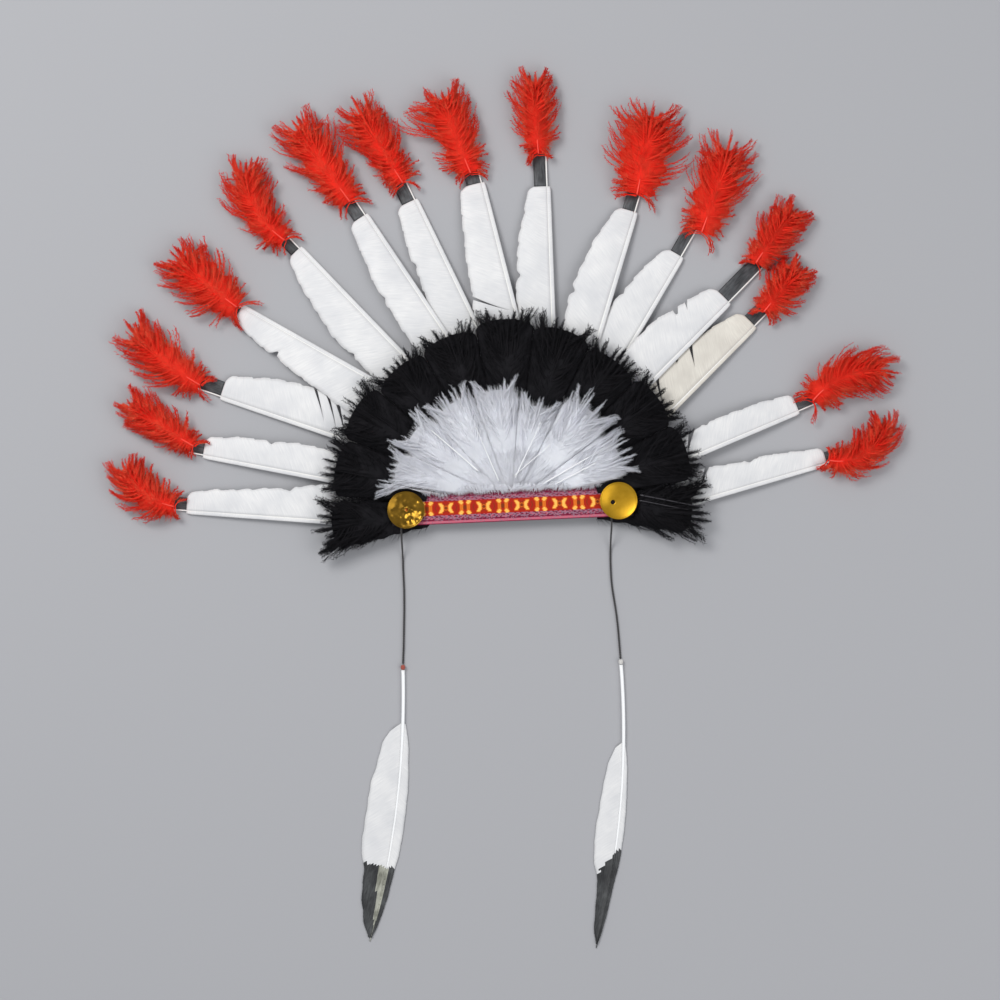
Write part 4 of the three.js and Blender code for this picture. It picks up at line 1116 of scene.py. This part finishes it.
def make_drop(side_name):
    row = DROPS[side_name]
    rng = draws(400 + len(side_name))
    length = DROP_LENGTH * row.length
    spine = Spine(row.knot + polar(KNOT_DIAMETER / 2 + 0.3, row.heading), row.heading, row.bend, length)
    start = row.vane_start * length
    end = length * 0.985
    rows = np.linspace(start, end, DROP_ROWS)
    form = np.interp((rows - start) / (end - start), [0, 0.1, 0.28, 0.45, 0.62, 0.68, 0.84, 0.95, 1],
                     [0.25, 0.66, 0.92, 1, 0.94, 0.78, 0.6, 0.36, 0.06])
    form = np.convolve(np.pad(form, 4, mode="edge"), np.ones(9) / 9, mode="valid")
    dyed_from = row.dyed_from * length
    build = Build()

    def slant_at(along):
        return 0.75 * smoothstep(length * 1.02, length * 0.9, along)

    for wide_share, direction, columns in ((row.wide, row.side, 9), (row.narrow, -row.side, 5)):
        wave = rng.uniform(0, 2 * math.pi, 2)

        def width_at(along):
            ripples = 0.3 * np.sin(along / 6 + wave[0]) + 0.2 * np.sin(along / 2.3 + wave[1])
            inside = smoothstep(start, start + 20, along) * smoothstep(end, end - 12, along)
            narrowed = 1 - (1 - row.tip) * smoothstep(dyed_from, dyed_from + 25, along)
            width = DROP_VANE_WIDTH * np.interp(along, rows, form) + ripples * inside
            return np.maximum(width * wide_share * narrowed, 0.4)

        slope = row.slope * (1 if direction == row.side else -row.narrow)
        dye = SimpleNamespace(start=dyed_from, slope=slope, ragged=row.ragged, streak=row.streak)
        add_vane(build, spine, rows, width_at, direction, np.zeros_like, slant_at, (), 0, columns=columns,
                 wobble=rng.normal(0, 0.06, len(rows)), dye=dye)
    reach = np.linspace(0, length, SHAFT_STATIONS)
    places = [0, start, start + 30, length]
    shaft = spine.place(reach / length, 0, np.interp(reach, places, [1.4, 1.4, 0.6, 0.4]))
    radii = np.interp(reach, places, DROP_QUILL_RADII)
    dyed = int(SHAFT_STATIONS * row.dyed_from) + 1
    add_tube(build, shaft[:dyed], radii[:dyed], 2)
    add_tube(build, shaft[dyed - 1:], radii[dyed - 1:], STREAK if row.streak else DYED)
    finish_piece(build, f"dressed_drop_feather_{side_name}", [WHITE_VANE, DROP_BLACK, QUILL, TIP_STREAK],
                 f"drop_feather_{side_name}")


for drop_side in DROPS:
    make_drop(drop_side)


# The ribbon's two motifs, each a quarter from its middle outwards and drawn four times by mirroring. A letter
# is a thread colour: r red ground, o orange, y yellow, k dark centre. The borders have maroon m, mauve g,
# violet v and pink p. b is near black on the ends that are sewn down under the discs, and is painted shade in
# the right disc's sewing hole.
PETALS = (
    "kkoooorrrkr",
    "kkoooorrrkr",
    "kroooorrrrk",
    "rroooorrrrk",
    "rroyyoorrrr",
    "royyyyorrrr",
    "royyyyyorrr",
    "rroyyyyorrr",
    "rroyyyorrrr",
)
BRACKETS = (
    "kkoyyyorrrr",
    "kooyyyorrrr",
    "oroyyyyorrr",
    "kroyyyyorrr",
    "rkroyyyyorr",
    "rrkroyyyorr",
    "rrrrooooorr",
    "rrrrrrrrkrr",
    "rrrrrrrrrrr",
)
MOTIF_PITCH = 13.2
MOTIF_SHIFT = -6.5
FIELD_HALF = 5.0
CELL_COLUMNS, CELL_ROWS = 280, 40

# Middle of the right disc's sewing hole, from the disc's own middle
RIGHT_HOLE = (-4.1, -0.9)


def thread_at(x, y, rng):
    """The colour letter of the ribbon's thread at a place."""
    # Near-black thread on the ends under the discs, and painted shade round the right disc's sewing hole
    if abs(x) > DISC_X + 2 or math.hypot(x - DISC_X - RIGHT_HOLE[0], y - RIGHT_HOLE[1]) < 3:
        return "b"
    if y < -10.3:
        return "m"
    if y < -8.6:
        return "p" if rng.random() < 0.85 else "g"
    if abs(y) > FIELD_HALF + 0.2:
        dash = math.sin(x * 1.9 + 2.2 * math.sin(y * 2.3)) + 0.7 * math.sin(x * 0.53 + y * 3)
        dash += rng.uniform(-0.8, 0.8)
        if abs(y) > 7.8:
            return "m" if dash > -0.9 else "g"
        return "g" if dash > 0.0 else ("p" if dash > -0.5 else ("m" if dash > -1.2 else "v"))
    motif = math.floor((x - MOTIF_SHIFT) / MOTIF_PITCH + 0.5)
    chart = PETALS if motif % 2 == 0 else BRACKETS
    column = int(min(abs(x - MOTIF_SHIFT - motif * MOTIF_PITCH) / (MOTIF_PITCH / 2) * 11, 10))
    row = int(min(abs(y) / FIELD_HALF * 9, 8))
    return chart[row][column]


def make_ribbon():
    """Woven threads as small pillows over a thin band, coloured by the chart."""
    rng = draws(500)
    keys = list(THREADS)
    build = Build()
    xs = np.linspace(-RIBBON_LENGTH / 2, RIBBON_LENGTH / 2, CELL_COLUMNS + 1)
    ys = np.linspace(-RIBBON_WIDTH / 2, RIBBON_WIDTH / 2, CELL_ROWS + 1)
    grid_x, grid_y = np.meshgrid(xs, ys, indexing="ij")
    ground = RIBBON_TOP - 0.25 + 0.05 * np.sin(grid_x * 0.11) * np.cos(grid_y * 0.2)
    corners = np.stack([grid_x, grid_y, ground], -1)
    centres = (corners[:-1, :-1] + corners[1:, 1:]) / 2
    letters = np.array([[thread_at(x, y, rng) for x, y, _ in column] for column in centres])
    raised = np.where(np.isin(letters, ["y", "o"]), 0.34, 0.2)
    centres[..., 2] += raised + 0.05 * (np.indices(raised.shape).sum(0) % 2)
    index = np.arange(grid_x.size).reshape(grid_x.shape)
    middle = grid_x.size + np.arange(raised.size)
    cells = grid_faces(index)
    faces = [np.stack([cells[:, k], cells[:, (k + 1) % 4], middle], -1) for k in range(4)]
    slots = np.array([keys.index(letter) for letter in letters.ravel()])
    vertices = np.concatenate([corners.reshape(-1, 3), centres.reshape(-1, 3)])
    build.add(vertices, [np.concatenate(faces)], np.tile(slots, 4))
    rim = vertices[np.concatenate([index[:, 0], index[-1, 1:], index[-2::-1, -1], index[0, -2:0:-1]])]
    lower = rim * [1, 1, 0] + [0, 0, RIBBON_BOTTOM + 0.05]
    count = len(rim)
    ring = np.arange(count)
    after = np.roll(ring, -1)
    walls = np.stack([ring + count, after + count, after, ring], -1)
    build.add(np.concatenate([rim, lower]), [walls], keys.index("m"))
    under = np.stack([after, ring, np.full(count, count)], -1)
    build.add([*lower, [0, 0, RIBBON_BOTTOM + 0.05]], [under], keys.index("m"))
    piece = finish_piece(build, "woven_ribbon", list(THREADS.values()), "ribbon_band")


make_ribbon()


def make_disc(name, x, hammered, hole_offset):
    """A dished gilt disc with a rolled rim and a sewing hole."""
    rng = draws(600 + int(hammered))
    hole = 1.2 if hammered else 1.5
    share = np.linspace(0, 1, DISC_RINGS)[:, None]
    angle = np.linspace(0, 2 * math.pi, DISC_SPOKES, endpoint=False)[None, :]
    reach = hole + (DISC_DIAMETER / 2 - hole) * share
    shift = (1 - share) ** 1.5
    px = reach * np.cos(angle) + hole_offset[0] * shift
    py = reach * np.sin(angle) + hole_offset[1] * shift
    rim = 0.35 * np.exp(-((share - 0.97) / 0.03) ** 2)
    height = np.broadcast_to(DISC_BOTTOM + 0.9 + 2.0 * share ** 2 + rim, px.shape)
    if hammered:
        for _ in range(HAMMER_MARKS):
            spot = polar(rng.uniform(2, 12), rng.uniform(0, 360))
            distance = (px - spot[0]) ** 2 + (py - spot[1]) ** 2
            height = height - rng.uniform(0.15, 0.4) * np.exp(-distance / rng.uniform(0.9, 2.6))
    top = np.stack([px + x, py, height], -1)
    build = Build()
    add_round_body(build, top, top - [0, 0, DISC_THICKNESS], hole=True)
    # The hammered disc takes the gold with near-black patches of painted dark reflection
    finish_piece(build, f"gilt_{name}", [GOLD_PAINTED_DARK_REFLECTION if hammered else GOLD], name)


make_disc("disc_left", -DISC_X, True, (0.0, 0.0))
make_disc("disc_right", DISC_X, False, RIGHT_HOLE)


def make_backing():
    """Pressed felt with softened edges and a faintly uneven face."""
    rng = draws(700)
    start = -math.asin(BACKING_BELOW / BACKING_RADIUS)
    angles = np.linspace(start, math.pi - start, 120)
    arc = BACKING_RADIUS * np.stack([np.cos(angles), np.sin(angles)], -1)
    straight_x = np.linspace(arc[-1, 0], arc[0, 0], 60)[1:-1]
    outline = np.concatenate([arc, np.stack([straight_x, np.full(58, -BACKING_BELOW)], -1)])
    centre = np.array([0.0, 30.0])
    share = np.linspace(0, 1, 20)[:, None]
    flat = centre + (outline - centre) * share[..., None]
    soft = 0.45 * smoothstep(0.97, 1.0, share)
    uneven = 0.06 * rng.normal(0, 1, flat.shape[:2])
    uneven[0] = 0
    top = np.concatenate([flat, (BACKING_TOP - soft + uneven)[..., None]], -1)
    under = np.concatenate([flat, (BACKING_BOTTOM + soft - uneven * 0.5)[..., None]], -1)
    build = Build()
    add_round_body(build, top, under)
    piece = finish_piece(build, "felt_half_moon", [FELT], "backing")


def make_elastic():
    """Flat knitted elastic with ribs along it and a bar of stitches near each end."""
    build = Build()
    grid_x, grid_y = np.meshgrid(np.linspace(-95, 95, 64), np.linspace(-7.5, 7.5, 46), indexing="ij")
    relief = 0.1 * np.cos(grid_y / 15 * 2 * math.pi * 11) + 0.03 * np.cos(grid_x * 0.7)
    top = np.stack([grid_x, grid_y, 1.05 + relief], -1)
    add_slab(build, top, np.stack([grid_x, grid_y, 0.12 - relief], -1))
    for x in (-90, -86, 86, 90):
        for y in np.arange(-6, 6.1, 2):
            stitch = [[x, y - 0.7, 0.28], [x, y - 0.3, 0.18], [x, y + 0.3, 0.18], [x, y + 0.7, 0.28]]
            add_tube(build, stitch, 0.18, sides=6)
    piece = finish_piece(build, "ribbed_elastic", [ELASTIC], "head_elastic")


make_backing()
make_elastic()


def area_light(name, location, size, power):
    """A square light that looks at the frame's origin."""
    data = bpy.data.lights.new(name, "AREA")
    data.shape = "SQUARE"
    data.size = size
    data.energy = power
    light = bpy.data.objects.new(name, data)
    light.location = location
    x, y, z = location
    light.rotation_euler = (math.atan2(math.hypot(x, y), z), 0, math.atan2(-y, -x) - math.pi / 2)
    bpy.context.collection.objects.link(light)


def make_stage():
    bpy.ops.mesh.primitive_plane_add(size=8, location=(0, 0, -0.0002))
    floor = bpy.context.object
    floor.name = "pale_floor"
    material = bpy.data.materials.new("pale_floor")
    material.use_nodes = True
    shader = material.node_tree.nodes["Principled BSDF"]
    shader.inputs["Base Color"].default_value = (0.4, 0.4, 0.41, 1)
    shader.inputs["Roughness"].default_value = 0.9
    floor.data.materials.append(material)
    area_light("key_light", (-0.9, 0.9, 1.6), 0.9, 24)
    area_light("fill_light", (1.2, -0.6, 1.5), 1.4, 12)
    world = bpy.data.worlds.new("studio")
    world.use_nodes = True
    background = world.node_tree.nodes["Background"].inputs
    background["Color"].default_value = (0.9, 0.93, 1.0, 1)
    background["Strength"].default_value = 0.52
    bpy.context.scene.world = world
    bpy.context.scene.view_settings.view_transform = "Standard"


make_stage()
